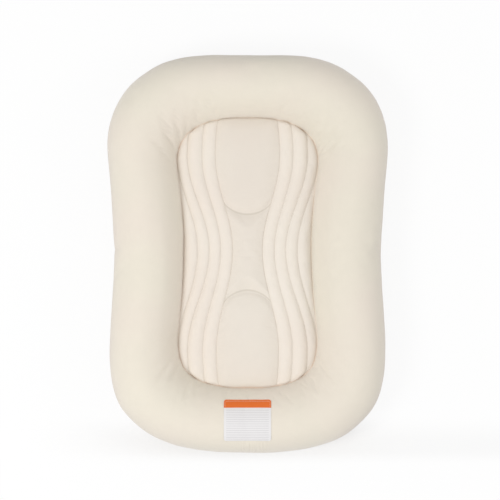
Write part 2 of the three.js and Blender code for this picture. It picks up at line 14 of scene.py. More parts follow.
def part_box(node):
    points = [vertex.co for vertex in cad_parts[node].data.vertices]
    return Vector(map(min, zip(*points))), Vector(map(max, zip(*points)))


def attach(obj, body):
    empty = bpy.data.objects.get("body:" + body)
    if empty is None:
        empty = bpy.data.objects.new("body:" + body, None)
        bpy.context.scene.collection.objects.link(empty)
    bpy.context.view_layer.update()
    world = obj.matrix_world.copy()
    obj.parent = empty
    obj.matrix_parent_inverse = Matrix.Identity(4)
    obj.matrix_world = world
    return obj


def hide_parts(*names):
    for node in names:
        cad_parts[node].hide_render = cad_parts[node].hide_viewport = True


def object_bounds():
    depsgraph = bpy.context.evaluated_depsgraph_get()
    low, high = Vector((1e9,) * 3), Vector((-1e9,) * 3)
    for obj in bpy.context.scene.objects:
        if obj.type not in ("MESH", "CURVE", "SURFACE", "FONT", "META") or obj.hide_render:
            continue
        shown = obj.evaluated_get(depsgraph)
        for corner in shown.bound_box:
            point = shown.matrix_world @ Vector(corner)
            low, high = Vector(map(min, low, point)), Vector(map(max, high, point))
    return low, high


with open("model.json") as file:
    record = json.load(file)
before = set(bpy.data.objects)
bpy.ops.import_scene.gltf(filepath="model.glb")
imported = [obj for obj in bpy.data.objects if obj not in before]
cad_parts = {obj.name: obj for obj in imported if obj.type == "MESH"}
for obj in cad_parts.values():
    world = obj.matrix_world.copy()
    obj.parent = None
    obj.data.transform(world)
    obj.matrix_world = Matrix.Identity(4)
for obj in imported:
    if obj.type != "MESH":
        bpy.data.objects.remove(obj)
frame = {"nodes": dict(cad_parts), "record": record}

bl_info = {
    "name": "Infant Lounger",
    "version": (1, 0, 0),
    "blender": (4, 5, 0),
    "location": "3D View > Sidebar > Lounger",
    "description": "Cloth, quilting, patch and zip of a ring lounger, built round its fixed frame",
    "category": "Object",
}

# Places and sizes that the frame gives, in metres: +Y is the head end and +Z is up
CAD_LOW, CAD_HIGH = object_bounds()
COVER_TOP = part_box("cover_bolster")[1].z
PATCH_LOW, PATCH_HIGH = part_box("foot_patch")
TAPE_LOW, TAPE_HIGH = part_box("zip_tape_right")
TEETH_LOW, TEETH_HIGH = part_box("zip_teeth_right")
BASE_LOW, BASE_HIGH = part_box("base_panel_right")
# Points that lie closer together than this, in metres, are taken to be at one place
SAME_PLACE = 1e-5
SIDES = {"left": -1, "right": 1}
FULL_TURN = 2 * math.pi
QUARTER_TURN = math.pi / 2


def body_of(node):
    return next(body for body, nodes in frame["record"]["behaviour"]["bodies"].items() if node in nodes)


ROOT = body_of("cover_bolster")


def length_property(name, description, default):
    return FloatProperty(name=name, description=description, default=default, unit="LENGTH", precision=4)


def share_property(name, description, default):
    return FloatProperty(name=name, description=description, default=default, subtype="FACTOR", precision=3)


def colour_property(name, description, default):
    """A colour that is given as it looks on a screen, from 0 to 255."""
    linear = [channel / 255 / 12.92 if channel <= 10 else ((channel / 255 + 0.055) / 1.055) ** 2.4
              for channel in default]
    return FloatVectorProperty(name=name, description=description, default=linear, size=3,
                               subtype="COLOR", min=0, max=1)


class ViewSettings(PropertyGroup):
    frame_width: length_property("Frame width", "Width of the picture at the height of the outline", 0.9275)
    aim_x: length_property("Aim X", "How far the camera stands to the right of the centre", 0.0046)
    aim_y: length_property("Aim Y", "How far the camera stands towards the head end", 0.0074)
    lens: FloatProperty(name="Lens", description="Focal length in millimetres", default=200)
    outline_height: length_property("Outline height", "Height of the lounger's widest line", 0.054)


class BolsterSettings(PropertyGroup):
    widest_height: length_property("Widest height", "Height at which the ring is widest", 0.054)
    seam_height: length_property("Pad seam height", "Height of the seam between ring and pad", 0.052)
    base_seam_height: length_property("Base seam height", "Height of the seam under the edge", 0.001)
    base_inset: length_property("Base inset", "How far the base seam lies in from the edge", 0.026)
    crest_share: share_property("Crest share", "Place of the crest across the ring", 0.46)
    inner_slope: share_property("Inner slope", "How far the inner side leans back from upright", 0.65)
    seam_depth: length_property("Seam depth", "How far the cover runs down at the pad seam", 0.0018)
    seam_tuck: length_property("Seam tuck", "How far the cover is tucked under the pad there", 0.003)
    lump_height: length_property("Lump height", "Broad unevenness of the filling", 0.0011)
    lump_size: length_property("Lump size", "Breadth of that unevenness", 0.11)
    gather_height: length_property("Gather height", "Height of the gathers at tight bends", 0.0010)
    base_gather_height: length_property("Base gather height", "Height of the gathers over the base", 0.0046)
    base_gather_reach: length_property("Base gather reach", "How far those run up the side", 0.034)
    gather_size: length_property("Gather size", "Spacing of the gathers along a seam", 0.011)
    gather_reach: length_property("Gather reach", "How far gathers run out from a seam", 0.016)
    pucker_height: length_property("Pucker height", "Height of the puckers beyond the patch", 0.002)
    pucker_size: length_property("Pucker size", "Spacing of those puckers", 0.0032)
    swell: length_property("Swell", "How far the filling may push the cover out", 0.004)
    cloth_spare: share_property("Spare cloth", "How much wider the cover is cut than the form", 0.005)
    base_cloth_spare: share_property("Spare cloth low down", "The same, low on the outer side", 0.06)
    steps_per_station: IntProperty(name="Steps", description="Mesh steps between stations", default=8)


class QuiltSettings(PropertyGroup):
    crown: length_property("Crown", "Rise of the whole pad at its middle", 0.005)
    channel_puff: length_property("Channel puff", "Rise of a full channel between its seams", 0.0068)
    oval_puff: length_property("Oval puff", "Rise of the large plain panels", 0.0085)
    full_puff_width: length_property("Full puff width", "Width at which a channel rises fully", 0.024)
    oval_round: length_property("Oval rounding", "Breadth of the rounded edge of a plain panel", 0.02)
    edge_round: length_property("Edge rounding", "Breadth of the rounded edge at the pad seam", 0.006)
    edge_drop: length_property("Edge drop", "How far the pad runs down at its seam", 0.0012)
    pucker_height: length_property("Pucker height", "Height of the puckers along a quilted seam", 0.0004)
    pucker_size: length_property("Pucker size", "Spacing of those puckers", 0.006)
    swell: length_property("Swell", "How far the wadding may push the cloth out", 0.0024)
    cloth_spare: share_property("Spare cloth", "How much wider the cloth is cut than the form", 0.006)
    # The quilting colour is painted shade: along the seams, along the ovals' arcs and over the plain panels
    line_shade: share_property("Line shade", "How much of the quilting colour the seams take on", 0.28)
    arc_shade: share_property("Arc shade", "The same, along the ovals' arcs", 0.65)
    panel_shade: share_property("Panel shade", "The same, all over the plain panels", 0.17)
    row_count: IntProperty(name="Rows", description="Mesh rows from foot to head", default=168)
    channel_steps: IntProperty(name="Channel steps", description="Mesh columns in a channel", default=6)
    panel_steps: IntProperty(name="Panel steps", description="Mesh columns in half a panel", default=9)


class PatchSettings(PropertyGroup):
    thickness: length_property("Thickness", "Thickness of the ribbon", 0.0005)
    band_length: length_property("Band length", "Length of the coloured band", 0.0186)
    corner_radius: length_property("Corner radius", "Radius of the patch's corners", 0.0042)
    stripe_pitch: length_property("Stripe pitch", "Spacing of the woven pinstripes", 0.0034)
    hem: length_property("Hem", "Distance of the stitching from the edge", 0.0022)


class ZipSettings(PropertyGroup):
    coil_pitch: length_property("Coil pitch", "Spacing of the coil's turns", 0.00155)
    coil_wire: length_property("Coil wire", "Radius of the coil's wire", 0.00032)
    coil_overlap: length_property("Coil overlap", "How far a row reaches over the centre line", 0.0003)


class LoungerColours(PropertyGroup):
    cover: colour_property("Cover", "Cloth of the ring", (229, 222, 207))
    quilt: colour_property("Quilt", "Cloth of the quilted pad", (234, 226, 215))
    # Warmer tint: random patches, and painted warm shade low on the ring's outer side
    blush: colour_property("Blush", "Warmer tint of the cloth in patches and low down", (231, 219, 208))
    # Painted crease shade: the darker tan line mixed in along the seams
    crease_shade: colour_property("Crease", "Depth of the seams", (222, 178, 146))
    # Painted shade of the quilting lines and of the plain panels
    quilting: colour_property("Quilting", "Shade of the quilting and the plain panels", (196, 189, 176))
    thread: colour_property("Thread", "Sewing thread", (214, 203, 186))
    spacer: colour_property("Spacer", "Cloth of the base", (226, 217, 200))
    ribbon: colour_property("Ribbon", "Ground of the patch", (231, 229, 229))
    stripe: colour_property("Stripe", "Pinstripes of the patch", (168, 165, 167))
    band: colour_property("Band", "Coloured band of the patch", (226, 113, 48))
    tape: colour_property("Tape", "Zip tape", (224, 214, 196))
    nylon: colour_property("Nylon", "Zip coils", (226, 217, 200))
    metal: colour_property("Metal", "Slider, pull and stops", (196, 194, 190))


def settings(name):
    return getattr(bpy.context.scene, "lounger_" + name)


# Meshes

def node_points(node):
    return np.array([vertex.co for vertex in frame["nodes"][node].data.vertices], float)


def level_points(node, height):
    """A node's corners at a height, once each, in plan."""
    points = node_points(node)
    level = points[abs(points[:, 2] - height) < SAME_PLACE][:, :2]
    return np.unique(level.round(6), axis=0)


def from_head_end(points):
    """Puts points in order round the centre, clockwise from the middle of the head end."""
    angles = np.arctan2(points[:, 0], points[:, 1]) + SAME_PLACE
    return points[np.argsort(angles % FULL_TURN)]


def outer_outline(height):
    """The cover's outer edge: of each pair of corners through the cloth, the one further out."""
    points = level_points("cover_bolster", height)
    apart = np.linalg.norm(points[:, None] - points[None], axis=2)
    np.fill_diagonal(apart, np.inf)
    reach = np.linalg.norm(points, axis=1)
    return from_head_end(points[reach > reach[apart.argmin(axis=1)]])


def pad_outline():
    top = node_points("quilt_backing")[:, 2].max()
    return from_head_end(level_points("quilt_backing", top))


def smooth_loop(points, steps):
    """A closed curve with even curvature through the points, with steps samples from each to the next."""
    one = np.eye(len(points))
    matrix = 4 * one + np.roll(one, 1, axis=1) + np.roll(one, -1, axis=1)
    ahead = np.roll(points, -1, axis=0)
    tangents = np.linalg.solve(matrix, 3 * (ahead - np.roll(points, 1, axis=0)))
    tangents_ahead = np.roll(tangents, -1, axis=0)
    samples = []
    for f in np.arange(steps) / steps:
        samples.append((2 * f**3 - 3 * f**2 + 1) * points + (f**3 - 2 * f**2 + f) * tangents
                       + (3 * f**2 - 2 * f**3) * ahead + (f**3 - f**2) * tangents_ahead)
    return np.stack(samples, axis=1).reshape(-1, points.shape[1])


def reach_along(points, axis=0):
    """Distance along a path, or along each line of a grid, up to each of its points."""
    steps = np.linalg.norm(np.diff(points, axis=axis), axis=-1)
    return np.insert(np.cumsum(steps, axis=axis), 0, 0, axis=axis)


def loop_reach(points):
    """Distance along a closed loop up to each of its points, with the whole length last."""
    return reach_along(np.concatenate([points, points[:1]]))


def make_object(name, points, faces):
    mesh = bpy.data.meshes.new(name)
    mesh.from_pydata([tuple(p) for p in points], [], faces)
    mesh.validate()
    piece = bpy.data.objects.new(name, mesh)
    bpy.context.scene.collection.objects.link(piece)
    return piece


def select_only(piece):
    bpy.ops.object.select_all(action="DESELECT")
    piece.select_set(True)
    bpy.context.view_layer.objects.active = piece


def apply_modifier(piece, kind, **values):
    select_only(piece)
    modifier = piece.modifiers.new(kind.lower(), kind)
    for key, value in values.items():
        setattr(modifier, key, value)
    bpy.ops.object.modifier_apply(modifier=modifier.name)


def shade_smooth(piece, angle=None):
    """Shades a piece smooth, or where an angle in degrees is given, only its edges that turn by less."""
    select_only(piece)
    if angle is None:
        bpy.ops.object.shade_smooth()
    else:
        bpy.ops.object.shade_smooth_by_angle(angle=math.radians(angle))


def smooth_subdivide(piece):
    apply_modifier(piece, "SUBSURF", levels=1, render_levels=1)
    shade_smooth(piece)


@contextmanager
def editing(piece):
    """Lends a piece's mesh as a bmesh, and writes the edited mesh back."""
    shape = bmesh.new()
    shape.from_mesh(piece.data)
    yield shape
    shape.to_mesh(piece.data)
    shape.free()


# Points of a grid that run together closer than this, in metres, become one
MERGE_DISTANCE = 0.0003


def open_edges(shape):
    return [edge for edge in shape.edges if edge.is_boundary]


def put_in_order(shape):
    """Sorts edges and faces by their corners. An extrusion can leave them in any order, and the cloth
    simulation would then differ from run to run."""
    shape.verts.index_update()
    count = len(shape.verts)

    def rank(part):
        first, second, *others = sorted(vertex.index for vertex in part.verts)
        return (first * count + second) * count + (others[0] if others else 0)

    shape.edges.sort(key=rank)
    shape.faces.sort(key=rank)


def close_holes(shape):
    bmesh.ops.holes_fill(shape, edges=open_edges(shape))
    bmesh.ops.recalc_face_normals(shape, faces=shape.faces)


def facing_out(points, faces):
    """The order in which quads' corners go round so that a closed form faces out."""
    a, b, c, d = (points[faces[:, k]] for k in range(4))
    volume = (np.cross(b - a, c - a) * a).sum() + (np.cross(c - a, d - a) * a).sum()
    return [0, 1, 2, 3] if volume > 0 else [3, 2, 1, 0]


def weight_group(piece, name, weights):
    group = piece.vertex_groups.new(name=name)
    for index, weight in enumerate(np.ravel(weights)):
        group.add([index], float(weight), "REPLACE")
    return group.name


def inflate(piece, held, limit, spare, loose=0.0, loose_spare=0.0):
    """Blows up a closed cloth form whose sewn points are held, and keeps each point within a limit.
    The cloth is cut wider than the form by spare, and by loose_spare where loose is 1."""
    frames = 20
    mesh = piece.data
    start = np.empty(3 * len(mesh.vertices), np.float32)
    mesh.vertices.foreach_get("co", start)
    select_only(piece)
    modifier = piece.modifiers.new("cloth", "CLOTH")
    cloth = modifier.settings
    cloth.quality = 5
    cloth.mass = 0.3
    cloth.use_pressure = True
    cloth.uniform_pressure_force = 4
    cloth.vertex_group_mass = weight_group(piece, "held", held)
    cloth.vertex_group_shrink = weight_group(piece, "loose", loose + np.zeros(np.shape(held)))
    cloth.shrink_min = -spare
    cloth.shrink_max = -loose_spare
    cloth.bending_stiffness = 0.3
    cloth.effector_weights.gravity = 0
    modifier.collision_settings.use_collision = False
    modifier.point_cache.frame_start = 1
    modifier.point_cache.frame_end = frames
    for step in range(1, frames + 1):
        bpy.context.scene.frame_set(step)
    bpy.ops.object.modifier_apply(modifier=modifier.name)
    end = np.empty_like(start)
    mesh.vertices.foreach_get("co", end)
    move = (end - start).reshape(-1, 3)
    length = np.maximum(np.linalg.norm(move, axis=1, keepdims=True), 1e-9)
    kept = start.reshape(-1, 3) + move * limit * np.tanh(length / limit) / length
    mesh.vertices.foreach_set("co", kept.ravel())
    mesh.update()
    piece.vertex_groups.clear()
    bpy.context.scene.frame_set(1)


def point_attribute(piece, name, values):
    attribute = piece.data.attributes.new(name, "FLOAT", "POINT")
    attribute.data.foreach_set("value", np.asarray(values, np.float32).ravel())


def read_attribute(piece, name):
    values = np.empty(len(piece.data.vertices), np.float32)
    piece.data.attributes[name].data.foreach_get("value", values)
    return values


def corner_map(piece, values):
    """Writes the cloth's own coordinates, in metres, as a UV map: one pair for each face corner."""
    layer = piece.data.uv_layers.new(name="cloth")
    layer.data.foreach_set("uv", np.asarray(values, np.float32).ravel())


def noise_at(x, y, z=0.0):
    """Smooth noise from about -1 to 1 at each point."""
    x, y, z = np.broadcast_arrays(x, y, z)
    values = [noise.noise(p) for p in np.stack([x.ravel(), y.ravel(), z.ravel()], axis=1)]
    return np.array(values).reshape(x.shape)


def lumps_at(points, size, start=0.0):
    """Smooth noise from about -1 to 1 at points in space, in lumps of a size."""
    return noise_at(*(points[..., axis] / size + start for axis in range(3)))


def blush_patches(points):
    """How warm the cloth's tint is at each point, from 0 to a half, in soft patches."""
    breadth, mean, spread = 0.09, 0.2, 0.45
    return np.clip(mean + spread * lumps_at(points, breadth), 0, 0.5)


def dome_near(distance, reach):
    """1 at no distance, and falling off smoothly to nothing at about twice the reach."""
    return np.exp(-(distance / reach) ** 2)


def grid_faces(rows, columns, closed_rows=False, closed_columns=False):
    """Quads of a grid whose point (row, column) has the index row * columns + column."""
    r = np.arange(rows if closed_rows else rows - 1)
    c = np.arange(columns if closed_columns else columns - 1)
    r, c = (a.ravel() for a in np.meshgrid(r, c, indexing="ij"))
    r_next, c_next = (r + 1) % rows, (c + 1) % columns
    corners = [r * columns + c, r * columns + c_next, r_next * columns + c_next, r_next * columns + c]
    return np.stack(corners, axis=1)


def dress(piece, material, slot, *nodes, body=ROOT):
    """Gives a finished piece its material and the body that it rides on, and hides the CAD nodes that it
    stands for. The slot is not used."""
    piece.data.materials.append(material)
    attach(piece, body)
    if nodes:
        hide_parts(*nodes)


# Shaders

class Wire:
    """One output of a shader node. Arithmetic on it adds Math nodes."""

    def __init__(self, shader, socket):
        self.shader = shader
        self.socket = socket

    def math(self, operation, *operands):
        return self.shader.node("ShaderNodeMath", {"operation": operation}, dict(enumerate(operands)))

    def __add__(self, other):
        return self.math("ADD", self, other)

    def __sub__(self, other):
        return self.math("SUBTRACT", self, other)

    def __rsub__(self, other):
        return self.math("SUBTRACT", other, self)

    def __mul__(self, other):
        return self.math("MULTIPLY", self, other)

    __radd__ = __add__
    __rmul__ = __mul__

    def sine(self):
        return self.math("SINE", self)

    def cosine(self):
        return self.math("COSINE", self)

    def absolute(self):
        return self.math("ABSOLUTE", self)

    def maximum(self, other):
        return self.math("MAXIMUM", self, other)

    def ribs(self, pitch):
        """Even ribs across the wire's values, from 0 to 1."""
        return (self * (FULL_TURN / pitch)).sine() * 0.5 + 0.5

    def eased(self, low, high):
        """0 up to low, 1 from high, and a smooth slope between."""
        values = {"Value": self, "From Min": low, "From Max": high}
        return self.shader.node("ShaderNodeMapRange", {"interpolation_type": "SMOOTHSTEP"}, values)


class Shader:
    """The nodes of a material or a world, made one at a time."""

    def __init__(self, owner):
        self.owner = owner
        owner.use_nodes = True
        self.tree = owner.node_tree
        self.tree.nodes.clear()

    @classmethod
    def of_material(cls, name):
        return cls(bpy.data.materials.new(name))

    def node(self, kind, values=None, sockets=None, output=0):
        made = self.tree.nodes.new(kind)
        for key, value in (values or {}).items():
            setattr(made, key, value)
        for key, value in (sockets or {}).items():
            if isinstance(value, Wire):
                self.tree.links.new(value.socket, made.inputs[key])
            else:
                made.inputs[key].default_value = value
        return Wire(self, made.outputs[output]) if len(made.outputs) else None

    def plan_parts(self, place):
        """X and Y of a place, as two wires."""
        return [self.node("ShaderNodeSeparateXYZ", None, {0: place}, axis) for axis in "XY"]

    def cloth_uv(self):
        """The cloth's own coordinates in metres, as two wires."""
        return self.plan_parts(self.node("ShaderNodeUVMap", {"uv_map": "cloth"}))

    def object_point(self):
        return self.node("ShaderNodeTexCoord", None, None, "Object")

    def attribute(self, name):
        return self.node("ShaderNodeAttribute", {"attribute_name": name}, None, "Fac")

    def noise(self, scale, detail=2.0):
        values = {"Vector": self.object_point(), "Scale": scale, "Detail": detail}
        return self.node("ShaderNodeTexNoise", None, values, "Fac")

    def mixed(self, share, first, second):
        """A colour between two, which are colours or wires."""
        values = {0: share, 6: first, 7: second}
        return self.node("ShaderNodeMix", {"data_type": "RGBA"}, values, 2)

    def varied(self, share, colour, dark, pale):
        """One colour in tones from dark to pale, which are factors on it."""
        return self.mixed(share, rgba(colour, dark), rgba(colour, pale))

    def bump(self, height, distance):
        return self.node("ShaderNodeBump", None, {"Height": height, "Distance": distance})

    def finish(self, surface):
        self.node("ShaderNodeOutputMaterial", None, {"Surface": surface})
        return self.owner

    def principled(self, values):
        return self.finish(self.node("ShaderNodeBsdfPrincipled", None, values))


def rgba(colour, factor=1.0):
    return (*(channel * factor for channel in colour), 1.0)


# Spacing of the threads in each cloth, in metres
COVER_WEAVE = 0.0011
QUILT_WEAVE = 0.0010
SLING_WEAVE = 0.0008


def woven_height(shader, pitch):
    """Height of a fine interlaced cloth, from 0 to 1, on the cloth's own coordinates."""
    across, along = ((wire * (FULL_TURN / pitch)).sine() for wire in shader.cloth_uv())
    return across * along * 0.5 + 0.5


def soft_cloth(name, colour, pitch, roughness=0.88):
    """Brushed cream cloth: a fine weave, faint slubs and a warmer tint in patches, with painted warm shade
    low down, painted shade along the quilting and over the plain panels, and painted crease shade, a darker
    tan line along a seam."""
    colours = settings("colours")
    shader = Shader.of_material(name)
    weave = woven_height(shader, pitch)
    mottle = shader.noise(55, 4)
    slub = shader.noise(420, 2)
    seam = shader.attribute("seam")
    tone = mottle * 0.6 + slub * 0.25 + weave * 0.15
    ground = shader.varied(tone, colour, 0.955, 1.035)
    # Random warmer patches, and on the ring painted warm shade low down, from the blush attribute
    tinted = shader.mixed(shader.attribute("blush"), ground, rgba(colours.blush))
    # Painted shade along the quilting and over the plain panels, from the quilting attribute
    quilted = shader.mixed(shader.attribute("quilting"), tinted, rgba(colours.quilting))
    # Painted crease shade along the seams, from the seam attribute
    cloth = shader.mixed(seam, quilted, rgba(colours.crease_shade))
    crepe = shader.noise(230, 3)
    height = weave * 0.3 + slub * 0.25 + crepe * 0.45
    return shader.principled({
        "Base Color": cloth,
        "Roughness": mottle * 0.1 + (roughness - 0.05),
        "Normal": shader.bump(height, pitch * 0.4),
        "Sheen Weight": 0.4,
        "Sheen Roughness": 0.5,
        "Specular IOR Level": 0.25,
    })


def thread_material(name, colour):
    """Twisted sewing thread."""
    shader = Shader.of_material(name)
    twist = shader.noise(1500, 2)
    return shader.principled({
        "Base Color": shader.varied(twist, colour, 0.9, 1.06),
        "Roughness": twist * 0.2 + 0.55,
        "Normal": shader.bump(twist, 0.0001),
    })


# Stage and camera

class LOUNGER_OT_camera(Operator):
    """Looks straight down on the lounger, with the head end at the top"""

    bl_idname = "lounger.camera"
    bl_label = "Camera"

    sensor_width = 36.0

    def execute(self, context):
        view = settings("view")
        data = bpy.data.cameras.new("camera")
        data.lens = view.lens
        data.sensor_width = self.sensor_width
        camera = bpy.data.objects.new("camera", data)
        distance = view.frame_width * view.lens / self.sensor_width
        camera.location = (view.aim_x, view.aim_y, view.outline_height + distance)
        data.clip_end = 10 * distance
        context.scene.collection.objects.link(camera)
        context.scene.camera = camera
        return {"FINISHED"}


class LOUNGER_OT_stage(Operator):
    """Adds a pale floor, two soft lights and a white surround"""

    bl_idname = "lounger.stage"
    bl_label = "Stage"

    # The floor, whose opening under the base is a little smaller than the base
    floor_size = 30.0
    floor_gap = 0.0003
    hole_inset = 0.003
    # How much of the floor's shading the camera sees on the whole, past the foot end and far away
    shadow_share = 0.12
    foot_shadow_share = 0.7
    far_shadow_share = 0.03
    # Where that share grows and shrinks past the foot end, and how far out it is the far one
    foot_rise = (0.30, 0.36)
    foot_fall = (0.368, 0.396)
    far_reach = (0.45, 1.3)
    # The floor's own tone for light, and for the camera
    bounce = 0.65
    shown_bounce = 0.87
    white = (1, 1, 1, 1)
    # The key light stands on the left, and the fill light on the right
    world_strength = 0.705
    light_size = 1.2
    key_power = 37.2
    key_place = (-1.7, -0.8, 2.5)
    fill_power = 13.2
    fill_place = (2.4, 0.0, 1.8)

    def execute(self, context):
        self.light("key_light", self.key_place, self.key_power)
        self.light("fill_light", self.fill_place, self.fill_power)
        self.surround()
        self.floor()
        context.scene.view_settings.view_transform = "Standard"
        return {"FINISHED"}

    def light(self, name, place, power):
        data = bpy.data.lights.new(name, "AREA")
        data.shape = "DISK"
        data.size = self.light_size
        data.energy = power
        lamp = bpy.data.objects.new(name, data)
        lamp.location = place
        lamp.rotation_euler = (-Vector(place)).to_track_quat("-Z", "Y").to_euler()
        lamp.visible_camera = False
        bpy.context.scene.collection.objects.link(lamp)

    def seen(self, shader):
        """1 for rays that show the background, and 0 for those that carry light."""
        camera, glossy, through = (shader.node("ShaderNodeLightPath", None, None, f"Is {kind} Ray")
                                   for kind in ("Camera", "Glossy", "Transmission"))
        return camera.maximum(glossy.maximum(through))

    def surround(self):
        world = bpy.data.worlds.new("surround")
        bpy.context.scene.world = world
        shader = Shader(world)
        strength = self.seen(shader) * (1 - self.world_strength) + self.world_strength
        light = shader.node("ShaderNodeBackground", None, {"Color": self.white, "Strength": strength})
        shader.node("ShaderNodeOutputWorld", None, {"Surface": light})

    def floor_sheet(self):
        """A wide floor that is open under the base, in two rings of quads."""
        opening = base_outline(steps=4)
        opening = np.concatenate([opening, opening[::-1] * (-1, 1)])
        outwards = opening / np.linalg.norm(opening, axis=1, keepdims=True)
        loops = [opening - outwards * self.hole_inset, opening * 2, outwards * self.floor_size]
        points = np.concatenate(loops)
        faces = grid_faces(len(loops), len(opening), closed_columns=True)
        level = np.full((len(points), 1), CAD_LOW.z - self.floor_gap)
        return make_object("floor", np.concatenate([points, level], axis=1), faces.tolist())

    def floor(self):
        """The floor is clear from below, so that the underside shows and is lit in views from there."""
        floor = self.floor_sheet()
        shader = Shader.of_material("floor")
        seen = self.seen(shader)
        bounce = shader.mixed(seen, rgba((self.bounce,) * 3), rgba((self.shown_bounce,) * 3))
        lit = shader.node("ShaderNodeBsdfDiffuse", None, {"Color": bounce})
        white = shader.node("ShaderNodeEmission", None, {"Color": self.white, "Strength": 1.0})
        place = shader.object_point()
        distance = shader.node("ShaderNodeVectorMath", {"operation": "LENGTH"}, {0: place}, "Value")
        _, to_head = shader.plan_parts(place)
        to_foot = 0 - to_head
        at_foot = to_foot.eased(*self.foot_rise) * (1 - to_foot.eased(*self.foot_fall))
        near = self.shadow_share + at_foot * (self.foot_shadow_share - self.shadow_share)
        share = near + distance.eased(*self.far_reach) * (self.far_shadow_share - near)
        shown = shader.node("ShaderNodeMixShader", None, {0: seen * (1 - share), 1: lit, 2: white})
        below = shader.node("ShaderNodeNewGeometry", None, None, "Backfacing")
        clear = shader.node("ShaderNodeBsdfTransparent", None, {"Color": self.white})
        surface = shader.node("ShaderNodeMixShader", None, {0: below, 1: shown, 2: clear})
        floor.data.materials.append(shader.finish(surface))


# Bolster

class Ring:
    """The plan of the bolster: its outer edge and the pad seam, sampled in step round the ring."""

    bend_window = 25

    def __init__(self):
        bolster = settings("bolster")
        steps = bolster.steps_per_station
        self.outer = smooth_loop(outer_outline(bolster.widest_height), steps)
        self.seam = smooth_loop(pad_outline(), steps)
        inwards = self.seam - self.outer
        self.width = np.linalg.norm(inwards, axis=1)
        self.inwards = inwards / self.width[:, None]
        self.count = len(self.outer)
        self.seam_bend = self.bend(self.seam)
        self.outer_bend = self.bend(self.outer)

    def bend(self, points):
        """How tightly a loop turns at each point, from 0 to 1."""
        ahead = np.roll(points, -1, axis=0) - points
        behind = points - np.roll(points, 1, axis=0)
        turn = behind[:, 0] * ahead[:, 1] - behind[:, 1] * ahead[:, 0]
        turn = abs(turn) / (np.linalg.norm(ahead, axis=1) * np.linalg.norm(behind, axis=1))
        turn = turn / np.linalg.norm(ahead, axis=1)
        window = np.hanning(self.bend_window)
        wrapped = np.concatenate([turn, turn, turn])
        smooth = np.convolve(wrapped, window / window.sum(), mode="same")[len(turn):2 * len(turn)]
        return smooth / smooth.max()

    def points(self, across, up):
        """Points at distances in from the outer edge, with one row of the arrays for each station."""
        plan = self.outer[:, None] + self.inwards[:, None] * across[..., None]
        return np.concatenate([plan, np.broadcast_to(up, across.shape)[..., None]], axis=2)


# Rows of the bolster's section: under its edge, up to its crest, down to the pad seam, and inside
UNDER_ROWS = 9
OUTER_ROWS = 13
INNER_ROWS = 15
INSIDE_ROWS = 4
# Shares of the way down into the pad seam, and of the way up to it at which the inside is closed
TUCK_SHARES = (0.4, 1.0)
INSIDE_RISE_SHARE = 0.02
# Where the inside turns up to the pad seam and where it ends at the base, in insets of the base seam
INSIDE_TURN_SHARE = 0.8
INSIDE_END_SHARE = 1.4


def arc_rows(middle, radii, first, last, steps):
    """Across and up of points on an arc, from one angle in degrees to another."""
    return [(middle[0] + radii[0] * np.cos(angle), middle[1] + radii[1] * np.sin(angle))
            for angle in np.radians(np.linspace(first, last, steps + 1))]


def bolster_section(width):
    """Across and up of each row of the section, for an array of ring widths, and how many rows show.
    It starts at the base seam, runs out and over the crest to the pad seam, and closes inside."""
    bolster = settings("bolster")
    crest = bolster.crest_share * width
    inset, widest = bolster.base_inset, bolster.widest_height
    rows = arc_rows((inset, widest), (inset, widest - bolster.base_seam_height), 270, 180, UNDER_ROWS)
    rows += arc_rows((crest, widest), (crest, COVER_TOP - widest), 180, 90, OUTER_ROWS)[1:]
    for share in np.linspace(0, 1, INNER_ROWS + 1)[1:]:
        turn = QUARTER_TURN * share
        plain, sloped = math.cos(turn), math.cos(QUARTER_TURN * math.sin(turn))
        height = plain * (1 - bolster.inner_slope) + sloped * bolster.inner_slope
        rows.append((crest + (width - crest) * math.sin(turn),
                     bolster.seam_height + (COVER_TOP - bolster.seam_height) * height))
    for share in TUCK_SHARES:
        rows.append((width + bolster.seam_tuck * share, bolster.seam_height - bolster.seam_depth * share))
    shown = len(rows)
    floor = BASE_HIGH.z + INSIDE_RISE_SHARE * (bolster.seam_height - bolster.base_seam_height)
    rise = bolster.seam_height - bolster.seam_depth - floor
    rows += arc_rows((width - inset, floor + rise), (inset * INSIDE_TURN_SHARE, rise), 0, -90, INSIDE_ROWS)
    rows.append((width / 2, floor))
    rows.append((inset * INSIDE_END_SHARE, floor))
    across, up = (np.stack([np.broadcast_to(row[part], width.shape) for row in rows], axis=1)
                  for part in (0, 1))
    return across, up, shown


def grid_normals(points):
    """Unit normals of a grid that closes both ways."""
    down = np.roll(points, -1, axis=0) - np.roll(points, 1, axis=0)
    side = np.roll(points, -1, axis=1) - np.roll(points, 1, axis=1)
    normals = np.cross(side, down)
    return normals / np.maximum(np.linalg.norm(normals, axis=2, keepdims=True), 1e-12)


# The puckers' middle is a little to the right of the centre line, halfway from the patch to the edge
PUCKER_MIDDLE_X = 0.008
PUCKER_REACH_X = 0.019
PUCKER_REACH_Y = 0.011
PUCKER_RISE = 0.01
PUCKER_LENGTH = 0.05
# The least share of a pucker that gets a finer mesh, and that moves a point
FINER_SHARE = 0.03
MOVED_SHARE = 0.02


def pucker_share(place):
    """How strongly the cover is puckered at a place, from 0 to 1: most just below the patch."""
    across = (place.x - PUCKER_MIDDLE_X) / PUCKER_REACH_X
    along = (place.y - (PATCH_LOW.y + CAD_LOW.y) / 2) / PUCKER_REACH_Y
    above = (place.z - settings("bolster").widest_height) / PUCKER_RISE
    return math.exp(-across**2 - along**2) * min(max(above, 0), 1)


